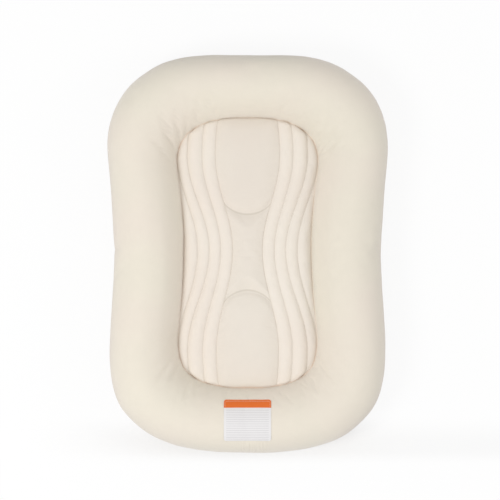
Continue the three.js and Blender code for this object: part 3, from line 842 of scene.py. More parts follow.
def pucker_at_patch(piece):
    """Short folds that run from the patch's outer edge down the side, where its stitching pulls. The
    mesh is made finer there first."""
    bolster = settings("bolster")
    with editing(piece) as shape:
        near = [face for face in shape.faces if pucker_share(face.calc_center_median()) > FINER_SHARE]
        edges = list({edge.index: edge for face in near for edge in face.edges}.values())
        bmesh.ops.subdivide_edges(shape, edges=edges, cuts=2, use_grid_fill=True)
        shape.normal_update()
        for vertex in shape.verts:
            share = pucker_share(vertex.co)
            if share > MOVED_SHARE:
                fold = noise.noise((vertex.co.x / bolster.pucker_size, vertex.co.y / PUCKER_LENGTH, 3.0))
                vertex.co += vertex.normal * (share * fold * bolster.pucker_height)


# Breadths, in metres, over which the cover's shape and its painted crease shade change beside a sewn line
FREE_REACH = 0.01
HELD_REACH = 0.004
PAD_CREASE_SHADE_REACH = 0.0026
BASE_CREASE_SHADE_REACH = 0.002
# Share of the crease colour, which is painted crease shade, along the pad seam, what tight bends and the
# foot end add to it where the seam shows darker, and its share along the base seam
PAD_CREASE_SHADE = 0.2
EXTRA_CREASE_SHADE = 0.4
BASE_CREASE_SHADE = 0.6
# How near to the foot's outermost point the seam counts as its foot end
FOOT_END_SHARE = 0.9
# Painted warm shade low on the outer side: its strength, and the height where it ends, in heights of the
# widest line
LOW_WARM_SHADE = 0.55
LOW_WARM_SHADE_END = 1.6
# How far above the widest line the extra cloth low down ends, in heights of that line
LOOSE_FADE = 0.3
# The least height of the cover's underside over the base's
LEAST_RISE = 0.0006
# Share of the swell that the form starts smaller by
BOLSTER_SHRINK = 0.5
# The finer unevenness of the filling: its height and size, in those of the broad one
FINE_LUMP_HEIGHT = 0.5
FINE_LUMP_SIZE = 0.37
# Gathers: where they start, in reaches from their seam, the smaller folds among them and how closely
# those lie, and how high gathers are where the seam runs straight
GATHER_START = 0.12
SMALL_FOLD = 0.4
SMALL_FOLD_COUNT = 2.3
STRAIGHT_GATHER = 0.3
# Spacing of the gathers over the base, in that of the others
BASE_GATHER_SPACING = 2.6


def gathers(distance, place, bend, seed, reach, size):
    """Height of the folds that fan out from a seam, at a distance from it and a place along it."""
    spread = np.exp(-distance / reach) * (1 - np.exp(-distance / (GATHER_START * reach)))
    fan = place / size
    wave = noise_at(fan, distance / (4 * reach) + seed)
    wave = wave + SMALL_FOLD * noise_at(SMALL_FOLD_COUNT * fan, seed - 3.0)
    return wave * spread * (STRAIGHT_GATHER + (1 - STRAIGHT_GATHER) * bend[:, None])


def ring_uv(ring, height, faces, columns):
    """The cover cloth's own coordinates at each corner of each face: along the ring and up from the
    base seam."""
    inner, outer = loop_reach(ring.seam), loop_reach(ring.outer)
    along = (inner + outer) / 2
    r, c = np.divmod(faces[:, 0], columns)
    r_next, c_next = r + 1, (c + 1) % columns
    corners = [(r, c), (r, c_next), (r_next, c_next), (r_next, c)]
    return np.stack([np.stack([along[row], height[row % ring.count, column]], axis=1)
                     for row, column in corners], axis=1)


def make_bolster():
    bolster = settings("bolster")
    ring = Ring()
    across, up, shown = bolster_section(ring.width)
    rows, columns = across.shape
    outside = np.arange(columns) < shown // 2
    points = ring.points(across, up)
    normals = grid_normals(points)
    from_base = reach_along(points[:, :shown], axis=1)
    from_pad = from_base[:, -1:] - from_base
    from_seam = np.minimum(from_base, from_pad)

    visible = np.zeros(across.shape)
    visible[:, :shown] = np.clip(from_seam / FREE_REACH, 0, 1)
    lumps = lumps_at(points, bolster.lump_size)
    lumps += FINE_LUMP_HEIGHT * lumps_at(points, FINE_LUMP_SIZE * bolster.lump_size, 9)
    move = lumps * bolster.lump_height * visible
    along_seam, along_edge = loop_reach(ring.seam)[:-1, None], loop_reach(ring.outer)[:-1, None]
    at_pad = gathers(from_pad, along_seam, ring.seam_bend, 4.0, bolster.gather_reach, bolster.gather_size)
    at_base = gathers(from_base, along_edge, ring.outer_bend, 12.0, bolster.base_gather_reach,
                      BASE_GATHER_SPACING * bolster.gather_size)
    move[:, :shown] += at_pad * bolster.gather_height + at_base * bolster.base_gather_height
    move -= BOLSTER_SHRINK * bolster.swell * visible
    points = points + normals * move[..., None]
    points[..., 2] = np.maximum(points[..., 2], BASE_LOW.z + LEAST_RISE)

    faces = grid_faces(rows, columns, True, True)
    turn = facing_out(points.reshape(-1, 3), faces)
    piece = make_object("bolster_skin", points.reshape(-1, 3), faces[:, turn].tolist())
    held = np.ones(across.shape)
    held[:, :shown] = dome_near(from_seam, HELD_REACH)
    above = (points[..., 2] - bolster.widest_height) / (LOOSE_FADE * bolster.widest_height)
    loose = np.clip(1 - above, 0, 1) * outside
    inflate(piece, held, bolster.swell, bolster.cloth_spare, loose, bolster.base_cloth_spare)

    # Painted crease shade along the pad seam, stronger at tight bends and the foot end, and along the base
    # seam
    at_foot = ring.seam[:, 1] < FOOT_END_SHARE * ring.seam[:, 1].min()
    crease_shade_share = PAD_CREASE_SHADE + EXTRA_CREASE_SHADE * np.maximum(ring.seam_bend, at_foot)[:, None]
    seam = np.ones(across.shape)
    seam[:, :shown] = (crease_shade_share * dome_near(from_pad, PAD_CREASE_SHADE_REACH)
                       + BASE_CREASE_SHADE * dome_near(from_base, BASE_CREASE_SHADE_REACH))
    # Painted warm shade low on the outer side, added to the random warmer patches
    warm_shade_low = np.clip(LOW_WARM_SHADE_END - points[..., 2] / bolster.widest_height, 0, 1) * outside
    point_attribute(piece, "seam", np.clip(seam, 0, 1))
    point_attribute(piece, "blush", blush_patches(points) + LOW_WARM_SHADE * warm_shade_low)
    point_attribute(piece, "quilting", np.zeros(across.shape))
    height = np.zeros(across.shape)
    height[:, :shown] = from_base
    corner_map(piece, ring_uv(ring, height, faces, columns)[:, turn])
    smooth_subdivide(piece)
    pucker_at_patch(piece)
    return piece


class LOUNGER_OT_bolster(Operator):
    """Makes the stuffed ring: one closed form in soft cream cloth, drawn in at its seams"""

    bl_idname = "lounger.bolster"
    bl_label = "Bolster"

    def execute(self, context):
        piece = make_bolster()
        cloth = soft_cloth("cover_cloth", settings("colours").cover, COVER_WEAVE)
        dress(piece, cloth, "cover_cloth", "cover_bolster", "casing_upper", "casing_lower", "bolster_fill")
        return {"FINISHED"}


# Quilted pad

# Distance of each quilting line from the centre line at the head, waist and foot, as shares of the
# pad's half width there, from the ovals' edge outwards
QUILT_LINE_SHARES = [(0.456, 0.23, 0.447), (0.646, 0.418, 0.647), (0.856, 0.595, 0.865), (1.0, 0.777, 1.0)]
# Where the lines are widest and narrowest, as shares of the pad's half length
HEAD_ZONE_SHARE = 0.72
WAIST_ZONE_SHARE = 0.02
FOOT_ZONE_SHARE = -0.72
# The ovals' inner ends: where their arcs leave the line, and where they cross the centre line
HEAD_ARC_SHARES = (0.367, 0.281)
FOOT_ARC_SHARES = (-0.372, -0.276)
# How close to the pad's edge, in metres, a quilting line counts as having met it
MEETS = 1e-6


def last_inside(inside, outside, is_inside):
    """Halves the way between two places until it is at the last one inside."""
    for _ in range(40):
        middle = (inside + outside) / 2
        if is_inside(middle):
            inside = middle
        else:
            outside = middle
    return inside


class Pad:
    """The plan of the quilted pad: its outline and its quilting lines."""

    outline_steps = 40

    def __init__(self):
        outline = smooth_loop(pad_outline(), self.outline_steps)
        right = outline[: len(outline) // 2 + 1]
        self.edge_y = right[::-1, 1]
        self.edge_x = right[::-1, 0]
        self.low, self.high = outline[:, 1].min(), outline[:, 1].max()
        self.middle, self.half = (self.low + self.high) / 2, (self.high - self.low) / 2
        self.head = self.zone_width(HEAD_ZONE_SHARE)
        self.waist = self.zone_width(WAIST_ZONE_SHARE)
        self.foot = self.zone_width(FOOT_ZONE_SHARE)

    def zone_width(self, share):
        return self.edge(self.middle + share * self.half)

    def edge(self, y):
        """Half width of the pad at y."""
        return np.interp(y, self.edge_y, self.edge_x)

    def line(self, index, y):
        """Half distance between the two quilting lines of a pair, at y. Index 0 is the centre line
        and 5 the pad's own edge."""
        if index == 0:
            return np.zeros_like(y)
        if index > len(QUILT_LINE_SHARES):
            return self.edge(y)
        at_head, at_waist, at_foot = QUILT_LINE_SHARES[index - 1]
        along = (y - self.middle) / self.half
        to_head = (along - WAIST_ZONE_SHARE) / (HEAD_ZONE_SHARE - WAIST_ZONE_SHARE)
        to_foot = (WAIST_ZONE_SHARE - along) / (WAIST_ZONE_SHARE - FOOT_ZONE_SHARE)
        progress = np.maximum(to_head, to_foot)
        spread = np.where(progress < 1, (1 - np.cos(math.pi * progress)) / 2, 1 - (progress - 1) ** 2)
        widest = np.where(to_head > 0, at_head * self.head, at_foot * self.foot)
        x = at_waist * self.waist + (widest - at_waist * self.waist) * spread
        return np.minimum(x, self.edge(y))

    def between_lines(self, place, y):
        """Half distance at y of a place between two lines, such as 1.5 between the first and second."""
        index = int(place)
        share = place - index
        return self.line(index, y) * (1 - share) + self.line(index + 1, y) * share

    def meets_edge(self, place, sign, outside):
        """The y at which a place meets the pad's edge, at the head for sign 1 or the foot for -1."""
        inside = self.middle + sign * HEAD_ZONE_SHARE * self.half
        return last_inside(inside, outside, lambda y: self.between_lines(place, y) < self.edge(y) - MEETS)


class QuiltGrid:
    """Points of the pad in plan, in rows from foot to head and columns from the centre out."""

    # The line at whose end all columns beyond it meet, and the share of the rows at each oval's arc
    last_free_line = 3
    arc_row_shares = (0.335, 0.66)
    arc_fullness = 0.6

    def __init__(self):
        quilt = settings("quilt")
        self.pad = Pad()
        steps = [quilt.panel_steps] + [quilt.channel_steps] * len(QUILT_LINE_SHARES)
        place = [0.0]
        for index, count in enumerate(steps):
            place += [index + self.spacing((k + 1) / count, index) for k in range(count)]
        self.place = np.array(place)
        self.lower = np.minimum(np.floor(self.place).astype(int), len(steps) - 1)
        self.share = self.place - self.lower
        self.build(quilt.row_count)

    @staticmethod
    def spacing(share, index):
        """Sets a channel's columns closer together towards its seams, and the panel's towards its edge."""
        return (1 - math.cos(math.pi * share)) / 2 if index else math.sin(QUARTER_TURN * share)

    def column_ends(self, sign):
        """Columns up to the last free line run to their own ends. Those beyond it meet at its end."""
        pad = self.pad
        middle_end = pad.middle + sign * pad.half
        line_ends = [middle_end]
        for index in range(1, self.last_free_line + 1):
            line_ends.append(pad.meets_edge(index, sign, middle_end))
        ends = []
        for place in self.place:
            line = min(int(place), self.last_free_line)
            on_line = place == line or line == self.last_free_line
            ends.append(line_ends[line] if on_line else pad.meets_edge(place, sign, line_ends[line]))
        return np.array(ends)

    def arc_y(self, shares):
        """The y of an oval's arc at each column. It is level beyond the oval's edge."""
        leaves, crosses = (self.pad.middle + share * self.pad.half for share in shares)
        from_centre = np.clip(self.place, 0, 1)
        return leaves + (crosses - leaves) * np.clip(1 - from_centre**2, 0, 1) ** self.arc_fullness

    def build(self, rows):
        self.foot_row, self.head_row = (int(round(share * rows)) for share in self.arc_row_shares)
        knots = np.array([0, self.foot_row, self.head_row, rows]) / rows
        shares = np.linspace(0, 1, rows + 1)
        ys = np.stack([self.column_ends(-1), self.arc_y(FOOT_ARC_SHARES), self.arc_y(HEAD_ARC_SHARES),
                       self.column_ends(1)], axis=1)
        self.y = np.stack([np.interp(shares, knots, column) for column in ys], axis=1)
        self.x = np.empty_like(self.y)
        self.width = np.empty_like(self.y)
        for c, (index, share) in enumerate(zip(self.lower, self.share)):
            inner, outer = (self.pad.line(line, self.y[:, c]) for line in (index, index + 1))
            self.x[:, c] = inner * (1 - share) + outer * share
            self.width[:, c] = outer - inner
        self.to_end = np.minimum(self.y - self.y[:1], self.y[-1:] - self.y)


def rounded(share):
    """Profile of a puffed edge: steep at the seam and level from 1 on."""
    return (1 - (1 - np.clip(share, 0, 1)) ** 2) ** 0.5


# Breadths, in metres, over which the pad's shape and its painted shade change beside a sewn line
LINE_REACH = 0.0011
QUILT_HELD_REACH = 0.0016
EDGE_DROP_REACH = 0.0022
PUCKER_FADE = 0.005
PUCKER_START = 0.001
# The fullest a wide channel may be, as a share of the channel's puff
FULLEST = 1.15
# Share of a plain panel's puff that is left at the pad's ends
END_PUFF = 0.55
# Where the painted crease shade grows along the pad's edge: from where, and over how far, as shares of the
# pad's half length for the corners and the foot end, and of its half width for the corners
CORNER_ALONG = (0.55, 0.25)
CORNER_ACROSS = (0.25, 0.35)
FOOT_ALONG = (0.85, 0.1)
# Share of the swell that the pad starts smaller by
QUILT_SHRINK = 0.8
PAD_THICKNESS = 0.012


def ramp(value, start, length):
    """0 up to a start and 1 from a length beyond it."""
    return np.clip((value - start) / length, 0, 1)


def quilt_heights(grid):
    """What the pad's points need over their plan: rise over the pad seam, distance to a quilting line
    and to the pad's edge, share of the quilting colour, which is painted shade along the lines and over the
    plain panels, and share of the crease colour, which is painted crease shade at the edge."""
    quilt = settings("quilt")
    pad, x, y = grid.pad, grid.x, grid.y
    edge = np.maximum(pad.edge(y), 1e-6)
    along = (y - pad.middle) / pad.half
    dome = np.clip(1 - (x / edge) ** 4, 0, 1) * np.clip(1 - along**8, 0, 1)
    to_edge = np.minimum(grid.to_end, (edge - x) + 1e-9)
    rim = rounded(to_edge / quilt.edge_round)

    side = 2 * np.minimum(grid.share, 1 - grid.share)[None, :]
    channel = rounded(side) * quilt.channel_puff * np.clip(grid.width / quilt.full_puff_width, 0, FULLEST)
    to_side = side * grid.width / 2

    to_arc = np.minimum(*(abs(y - y[row][None, :]) for row in (grid.foot_row, grid.head_row)))
    to_line = pad.line(1, y) - x
    panel = quilt.oval_puff * rounded(to_line / quilt.oval_round) * rounded(to_arc / quilt.oval_round) ** 2
    panel *= END_PUFF + (1 - END_PUFF) * rounded(grid.to_end / quilt.oval_round) ** 2

    in_panel = (grid.place < 1)[None, :]
    on_line = (grid.place == 1)[None, :]
    puff = np.where(on_line, 0, np.where(in_panel, panel, channel))
    distance = np.where(on_line, 0, np.where(in_panel, np.minimum(to_line, to_arc), to_side))
    wave = noise_at(y / quilt.pucker_size, x / (5 * quilt.pucker_size) + grid.lower[None, :] * 7.0)
    pucker = wave * np.exp(-distance / PUCKER_FADE) * quilt.pucker_height * ramp(distance, 0, PUCKER_START)

    # Painted shade along the quilting lines and the ovals' arcs, and over the plain panels
    shade = quilt.line_shade * dome_near(distance, LINE_REACH)
    panel_shade = np.maximum(quilt.panel_shade, quilt.arc_shade * dome_near(to_arc, LINE_REACH))
    # Painted crease shade at the pad's edge, stronger at the corners and the foot end
    corner = ramp(abs(along), *CORNER_ALONG) * ramp(x / pad.head, *CORNER_ACROSS)
    crease_shade_share = PAD_CREASE_SHADE + EXTRA_CREASE_SHADE * np.maximum(corner, ramp(-along, *FOOT_ALONG))
    return {
        "rise": (quilt.crown * dome + puff) * rim + pucker * rim,
        "to_line": distance,
        "to_edge": to_edge,
        "shade": np.where(in_panel, np.maximum(shade, panel_shade), shade),
        "crease_shade": crease_shade_share * dome_near(to_edge, LINE_REACH),
    }


def make_quilt():
    quilt = settings("quilt")
    grid = QuiltGrid()
    right_half = {"x": grid.x, "y": grid.y, **quilt_heights(grid)}
    pad = {name: np.concatenate([values[:, :0:-1], values], axis=1) for name, values in right_half.items()}
    rows, columns = pad["x"].shape
    pad["x"][:, :columns // 2] *= -1
    held = dome_near(np.minimum(pad["to_line"], pad["to_edge"]), QUILT_HELD_REACH)
    rise = pad["rise"]
    rise = rise - QUILT_SHRINK * quilt.swell * (1 - held)
    edge_drop = quilt.edge_drop * np.exp(-pad["to_edge"] / EDGE_DROP_REACH)
    z = settings("bolster").seam_height - edge_drop + rise
    points = np.stack([pad["x"], pad["y"], z], axis=2).reshape(-1, 3)
    faces = grid_faces(rows, columns)
    piece = make_object("quilted_pad", points, faces.tolist())
    # The seam attribute carries painted crease shade, and the quilting one painted shade along the lines and
    # over the plain panels
    point_attribute(piece, "seam", pad["crease_shade"])
    point_attribute(piece, "quilting", pad["shade"])
    point_attribute(piece, "held", held)
    point_attribute(piece, "blush", blush_patches(points))
    corner_map(piece, points[faces.ravel(), :2])
    close_underside(piece, PAD_THICKNESS)
    inflate(piece, read_attribute(piece, "held"), quilt.swell, quilt.cloth_spare)
    smooth_subdivide(piece)
    return piece


def close_underside(piece, drop):
    """Runs the pad's edge down and closes it with a flat back."""
    with editing(piece) as shape:
        bmesh.ops.remove_doubles(shape, verts=shape.verts, dist=MERGE_DISTANCE)
        grown = bmesh.ops.extrude_edge_only(shape, edges=open_edges(shape))["geom"]
        lower = [part for part in grown if isinstance(part, bmesh.types.BMVert)]
        level = min(vertex.co.z for vertex in lower) - drop
        for vertex in lower:
            vertex.co.z = level
        bmesh.ops.contextual_create(shape, geom=open_edges(shape))
        bmesh.ops.triangulate(shape, faces=[face for face in shape.faces if len(face.verts) > 4])
        bmesh.ops.recalc_face_normals(shape, faces=shape.faces)
        put_in_order(shape)


class LOUNGER_OT_quilt(Operator):
    """Makes the quilted pad, with its two ovals, its waist panel and its wavy channels"""

    bl_idname = "lounger.quilt"
    bl_label = "Quilted pad"

    def execute(self, context):
        piece = make_quilt()
        cloth = soft_cloth("quilt_cloth", settings("colours").quilt, QUILT_WEAVE)
        dress(piece, cloth, "quilt_cloth", "quilt_face", "quilt_wadding", "quilt_backing", "pad_core")
        return {"FINISHED"}


# Sewing threads and small repeated forms

def repeated(name, template, template_faces, places, along, up):
    """One mesh with a copy of a template at each place. The template's X runs along and its Z up."""
    along = along / np.linalg.norm(along, axis=1, keepdims=True)
    side = np.cross(up, along)
    side /= np.linalg.norm(side, axis=1, keepdims=True)
    up = np.cross(along, side)
    basis = np.stack([along, side, up], axis=1)
    points = np.einsum("vk,nkd->nvd", template, basis) + places[:, None]
    offsets = np.arange(len(places)) * len(template)
    faces = [tuple(int(i) + int(offset) for i in face) for offset in offsets for face in template_faces]
    return make_object(name, points.reshape(-1, 3), faces)


# A stitch's rings from end to end: place along it in lengths, and thickness and rise in radii
STITCH_RINGS = [(-0.5, 0.45, -0.9), (-0.34, 0.9, 0.1), (0.0, 1.0, 0.35), (0.34, 0.9, 0.1), (0.5, 0.45, -0.9)]
STITCH_SIDES = 6
# Pitch of the stitches along a line, and a stitch's length and radius, in metres
QUILT_STITCH = (0.0034, 0.0026, 0.00026)
PATCH_STITCH = (0.0031, 0.0024, 0.00022)
BASE_STITCH = (0.0036, 0.0028, 0.00028)


def stitch_template(length, radius):
    """A short bar of thread whose ends dip into the cloth."""
    angles = np.arange(STITCH_SIDES) * FULL_TURN / STITCH_SIDES
    points = [(along * length, radius * thick * math.cos(angle), radius * (thick * math.sin(angle) + rise))
              for along, thick, rise in STITCH_RINGS for angle in angles]
    faces = grid_faces(len(STITCH_RINGS), STITCH_SIDES, closed_columns=True)[:, ::-1].tolist()
    first, last = range(STITCH_SIDES), range(len(points) - STITCH_SIDES, len(points))
    return np.array(points), [*faces, list(first), list(reversed(last))]


def surface_of(piece):
    return BVHTree.FromObject(piece, bpy.context.evaluated_depsgraph_get())


def dropped(surface, x, y, from_above=True):
    """Place and normal where something dropped at x and y, or raised from below, meets a surface."""
    start, down = (CAD_HIGH.z + 1, -1) if from_above else (CAD_LOW.z - 1, 1)
    return surface.ray_cast(Vector((x, y, start)), Vector((0, 0, down)))[:2]


def stitches_along(paths, surface, pitch, length, from_above):
    """Places, directions and normals of stitches along plan paths, dropped on a surface."""
    places, directions, normals = [], [], []
    for path in paths:
        reach = reach_along(path)
        for middle in np.arange(pitch / 2, reach[-1] - pitch / 2, pitch):
            ends = []
            for offset in (-length / 2, 0, length / 2):
                x, y = (np.interp(middle + offset, reach, path[:, axis]) for axis in (0, 1))
                ends.append(dropped(surface, x, y, from_above))
            if all(hit for hit, _ in ends):
                places.append(ends[1][0])
                directions.append(ends[2][0] - ends[0][0])
                normals.append(ends[1][1])
    return np.array(places), np.array(directions), np.array(normals)


def sewn(name, paths, piece, stitch, from_above=True):
    """Stitches of one kind along plan paths on a piece."""
    pitch, length, radius = stitch
    places, directions, normals = stitches_along(paths, surface_of(piece), pitch, length, from_above)
    template, faces = stitch_template(length, radius)
    stitches = repeated(name, template, faces, places, directions, normals)
    shade_smooth(stitches)
    return stitches


class LOUNGER_OT_quilting(Operator):
    """Sews the quilting lines of the pad with single stitches"""

    bl_idname = "lounger.quilting"
    bl_label = "Quilting stitches"

    # The outermost line is sewn only where the channel beyond it is wider than this
    least_channel = 0.001

    def execute(self, context):
        grid = QuiltGrid()
        paths = []
        for index in range(1, len(QUILT_LINE_SHARES) + 1):
            column = int(np.argmin(abs(grid.place - index)))
            is_last = index == len(QUILT_LINE_SHARES)
            free = grid.width[:, column] > (self.least_channel if is_last else -1)
            for sign in (-1, 1):
                line = np.stack([sign * grid.x[:, column], grid.y[:, column]], axis=1)
                paths.append(line[free])
        inside = grid.place <= 1
        for row in (grid.foot_row, grid.head_row):
            right = np.stack([grid.x[row, inside], grid.y[row, inside]], axis=1)
            paths.append(np.concatenate([right[::-1] * (-1, 1), right[1:]]))
        piece = sewn("quilting_stitches", paths, bpy.data.objects["quilted_pad"], QUILT_STITCH)
        dress(piece, thread_material("sewing_thread", settings("colours").thread), "quilt_cloth")
        return {"FINISHED"}


# Patch

RIB_PITCH = 0.0011
STRIPE_MARGIN = (0.004, 0.005)
BAND_BLUR = 0.0002
# The patch's mesh: points across it, along its straight sides and round each corner
PATCH_COLUMNS = 45
PATCH_ROWS = 37
CORNER_ROWS = 6
# The patch's height over the cover, and how that changes towards its corners and along its stitching
PATCH_LIFT = 0.00075
CORNER_LIFT = 0.0009
CORNER_LIFT_REACH = 0.006
SEWN_DIP = 0.0003
SEWN_DIP_REACH = 0.0014
PATCH_WAVE = 0.0002
PATCH_WAVE_SIZE = (0.016, 0.012)


def ribbon_material(patch, colours):
    """White ribbed ribbon with even pinstripes and one coloured band."""
    shader = Shader.of_material("patch_ribbon")
    across, along = shader.cloth_uv()
    ribs = along.ribs(RIB_PITCH)
    slub = shader.noise(600, 3)
    stripe = (along * (FULL_TURN / patch.stripe_pitch)).sine().eased(0.72, 0.95)
    inside = across.absolute().eased(*(PATCH_HIGH.x - margin for margin in STRIPE_MARGIN))
    ground = shader.varied(slub, colours.ribbon, 0.96, 1.02)
    striped = shader.mixed(stripe * inside * 0.6, ground, rgba(colours.stripe))
    band = along.eased(patch.band_length + BAND_BLUR, patch.band_length - BAND_BLUR)
    return shader.principled({
        "Base Color": shader.mixed(band, striped, shader.varied(slub, colours.band, 0.93, 1.05)),
        "Roughness": ribs * 0.12 + 0.5,
        "Normal": shader.bump(ribs * 0.7 + slub * 0.3, 0.00018),
        "Specular IOR Level": 0.2,
    })


def patch_height(patch, x, y):
    """Height of the patch over the cover, most at its corners and least along its stitching."""
    to_side = min(x - PATCH_LOW.x, PATCH_HIGH.x - x)
    to_end = min(y - PATCH_LOW.y, PATCH_HIGH.y - y)
    corner = math.exp(-(to_side + to_end) / CORNER_LIFT_REACH)
    sewn_in = math.exp(-((min(to_side, to_end) - patch.hem) / SEWN_DIP_REACH) ** 2)
    wave = PATCH_WAVE * noise.noise((x / PATCH_WAVE_SIZE[0], y / PATCH_WAVE_SIZE[1], 0.5))
    return PATCH_LIFT + CORNER_LIFT * corner - SEWN_DIP * sewn_in + wave


def make_patch():
    """A ribbon laid over the ring: a grid in plan, dropped on the cover and given its thickness."""
    patch = settings("patch")
    surface = surface_of(bpy.data.objects["bolster_skin"])
    radius, length = patch.corner_radius, PATCH_HIGH.y - PATCH_LOW.y
    corner = radius * (1 - np.cos(np.linspace(0, QUARTER_TURN, CORNER_ROWS)))
    straight = np.linspace(radius, length - radius, PATCH_ROWS)[1:-1]
    from_end = np.concatenate([corner, straight, length - corner[::-1]])
    points = []
    for y in PATCH_HIGH.y - from_end:
        into_corner = max(radius - min(PATCH_HIGH.y - y, y - PATCH_LOW.y), 0)
        half = PATCH_HIGH.x - radius + math.sqrt(radius**2 - into_corner**2)
        for x in np.linspace(-half, half, PATCH_COLUMNS):
            place, normal = dropped(surface, x, y)
            points.append(place + normal * patch_height(patch, x, y))
    grid = np.array(points).reshape(len(from_end), PATCH_COLUMNS, 3)
    faces = grid_faces(len(from_end), PATCH_COLUMNS)[:, ::-1]
    piece = make_object("sewn_patch", grid.reshape(-1, 3), faces.tolist())
    along = reach_along(grid[:, PATCH_COLUMNS // 2])
    uv = np.stack([grid[..., 0], np.broadcast_to(along[:, None], grid.shape[:2])], axis=2).reshape(-1, 2)
    corner_map(piece, uv[faces.ravel()])
    apply_modifier(piece, "SOLIDIFY", thickness=patch.thickness, offset=-1)
    smooth_subdivide(piece)
    return piece, (PATCH_HIGH.x - PATCH_LOW.x, float(along[-1]))


class LOUNGER_OT_patch(Operator):
    """Makes the ribbon patch at the foot end, sewn down along its four sides"""

    bl_idname = "lounger.patch"
    bl_label = "Patch"

    def execute(self, context):
        patch, colours = settings("patch"), settings("colours")
        piece, flat = make_patch()
        dress(piece, ribbon_material(patch, colours), "patch_cloth", "foot_patch")

        x, low, high = PATCH_HIGH.x - patch.hem, PATCH_LOW.y + patch.hem, PATCH_HIGH.y - patch.hem
        corners = np.array([(-x, low), (x, low), (x, high), (-x, high), (-x, low)])
        sides = [corners[k:k + 2] for k in range(4)]
        stitches = sewn("patch_stitches", sides, piece, PATCH_STITCH)
        dress(stitches, thread_material("patch_thread", colours.ribbon), "patch_cloth")
        return {"FINISHED"}


# Underside

def base_outline(steps):
    """The right half of the base's outer edge, from the head end round to the foot end."""
    right = level_points("base_panel_right", BASE_LOW.z)
    right = right[right[:, 0] > TAPE_HIGH.x]
    loop = smooth_loop(from_head_end(np.concatenate([right, right * (-1, 1)])), steps)
    half = loop[loop[:, 0] > 0]
    return half[np.argsort(np.arctan2(half[:, 0], half[:, 1]))]


# The base cloth's rolled edge, which is less rolled where its halves meet past the zip's ends
ROLL_RADIUS = 0.0035
CLOSED_ROLL = 0.4
SEAM_OVERLAP = 0.0005
# How far past the zip's slot the halves meet, and over what length they part
PARTING_MARGIN = 0.003
PARTING_LENGTH = 0.006
# The topstitching: how far in from the edge it lies, how deep it draws the cloth in, and how broadly
TOPSTITCH_INSET = 0.0055
TOPSTITCH_DEPTH = 0.0009
TOPSTITCH_REACH = 0.0011
# Points of a rib: at these distances from its edges, or closer in a rib shorter than the next length,
# and as many between them as the number below
EDGE_STEPS = (0, 0.0008, 0.002, 0.004, 0.0055, 0.007, 0.0095, 0.014)
SHORT_RIB = 0.05
MIDDLE_STEPS = 20
# Ribs shorter than this, at the ends of the zip, carry no topstitching
LEAST_SEWN_RIB = 0.03
DIMPLE_PITCH = 0.0034
# How far the sling stays clear of its CAD solid's faces, how deep and how broadly it dips, and its flat
# rings as shares of its outline
SLING_CLEAR = 0.0003
SLING_DIP = 0.0003
SLING_DIP_SIZE = 0.05
SLING_SHARES = (1.0, *np.linspace(0.985, 0.08, 16))
SMOOTH_ANGLE = 40


def inner_edge(outer):
    """The point on the zip's side at which each rib starts, and how far the halves are parted there."""
    corners = node_points("base_panel_right")
    slot = np.unique(corners[corners[:, 0] < TAPE_HIGH.x].round(6), axis=0)
    slot_x = slot[:, 0].max()
    slot_end = abs(slot[abs(slot[:, 0] - slot_x) < SAME_PLACE, 1]).max()
    y = np.interp(np.linspace(0, 1, len(outer)), [0, 1], [outer[0, 1], outer[-1, 1]])
    y = 0.5 * y + 0.5 * np.clip(outer[:, 1], y.min(), y.max())
    parted = np.clip((slot_end + PARTING_MARGIN - abs(y)) / PARTING_LENGTH, 0, 1)
    return np.stack([slot_x * parted - SEAM_OVERLAP * (1 - parted), y], axis=1), parted


def rolled_in(to_edge):
    """How far a rolled edge turns in at a distance from it."""
    into_roll = np.maximum(ROLL_RADIUS - to_edge, 0)
    return ROLL_RADIUS - np.sqrt(np.maximum(ROLL_RADIUS**2 - into_roll**2, 0))


def make_base_panel(name, sign):
    """One half of the spacer cloth: ribs of points that fan from the zip's edge to the outer edge,
    closed round the section, with rolled edges and a line of topstitching."""
    outer = base_outline(steps=6)
    inner, parted = inner_edge(outer)
    length = np.linalg.norm(outer - inner, axis=1)[:, None]
    near_edge = np.array(EDGE_STEPS)[None] * np.clip(length / SHORT_RIB, 0, 1)
    first, last = near_edge[:, -1:], length - near_edge[:, -1:]
    between = first + (last - first) * np.linspace(0, 1, MIDDLE_STEPS + 2)[None, 1:-1]
    reach = np.concatenate([near_edge, between, length - near_edge[:, ::-1]], axis=1)
    direction = (outer - inner) / np.maximum(length, 1e-9)
    plan = inner[:, None] + direction[:, None] * reach[..., None]

    to_edge = np.minimum(reach, length - reach)
    roll_share = CLOSED_ROLL + (1 - CLOSED_ROLL) * parted[:, None]
    rolled = np.maximum(rolled_in(reach) * roll_share, rolled_in(length - reach))
    groove = TOPSTITCH_DEPTH * dome_near(to_edge - TOPSTITCH_INSET, TOPSTITCH_REACH)
    section = np.concatenate([plan, plan[:, ::-1]], axis=1)
    height = np.concatenate([BASE_LOW.z + rolled + groove, (BASE_HIGH.z - rolled)[:, ::-1]], axis=1)
    points = np.concatenate([section * (sign, 1), height[..., None]], axis=2)
    faces = grid_faces(*height.shape, closed_columns=True)
    piece = make_object(name, points.reshape(-1, 3), faces.tolist())
    with editing(piece) as shape:
        bmesh.ops.remove_doubles(shape, verts=shape.verts, dist=MERGE_DISTANCE)
        close_holes(shape)
    smooth_subdivide(piece)
    inset = np.clip(TOPSTITCH_INSET / np.maximum(length, 1e-9), 0, 0.5)
    sewn_ribs = length[:, 0] > LEAST_SEWN_RIB
    lines = [outer + (inner - outer) * inset, inner + (outer - inner) * inset]
    return piece, [line[sewn_ribs] * (sign, 1) for line in lines]


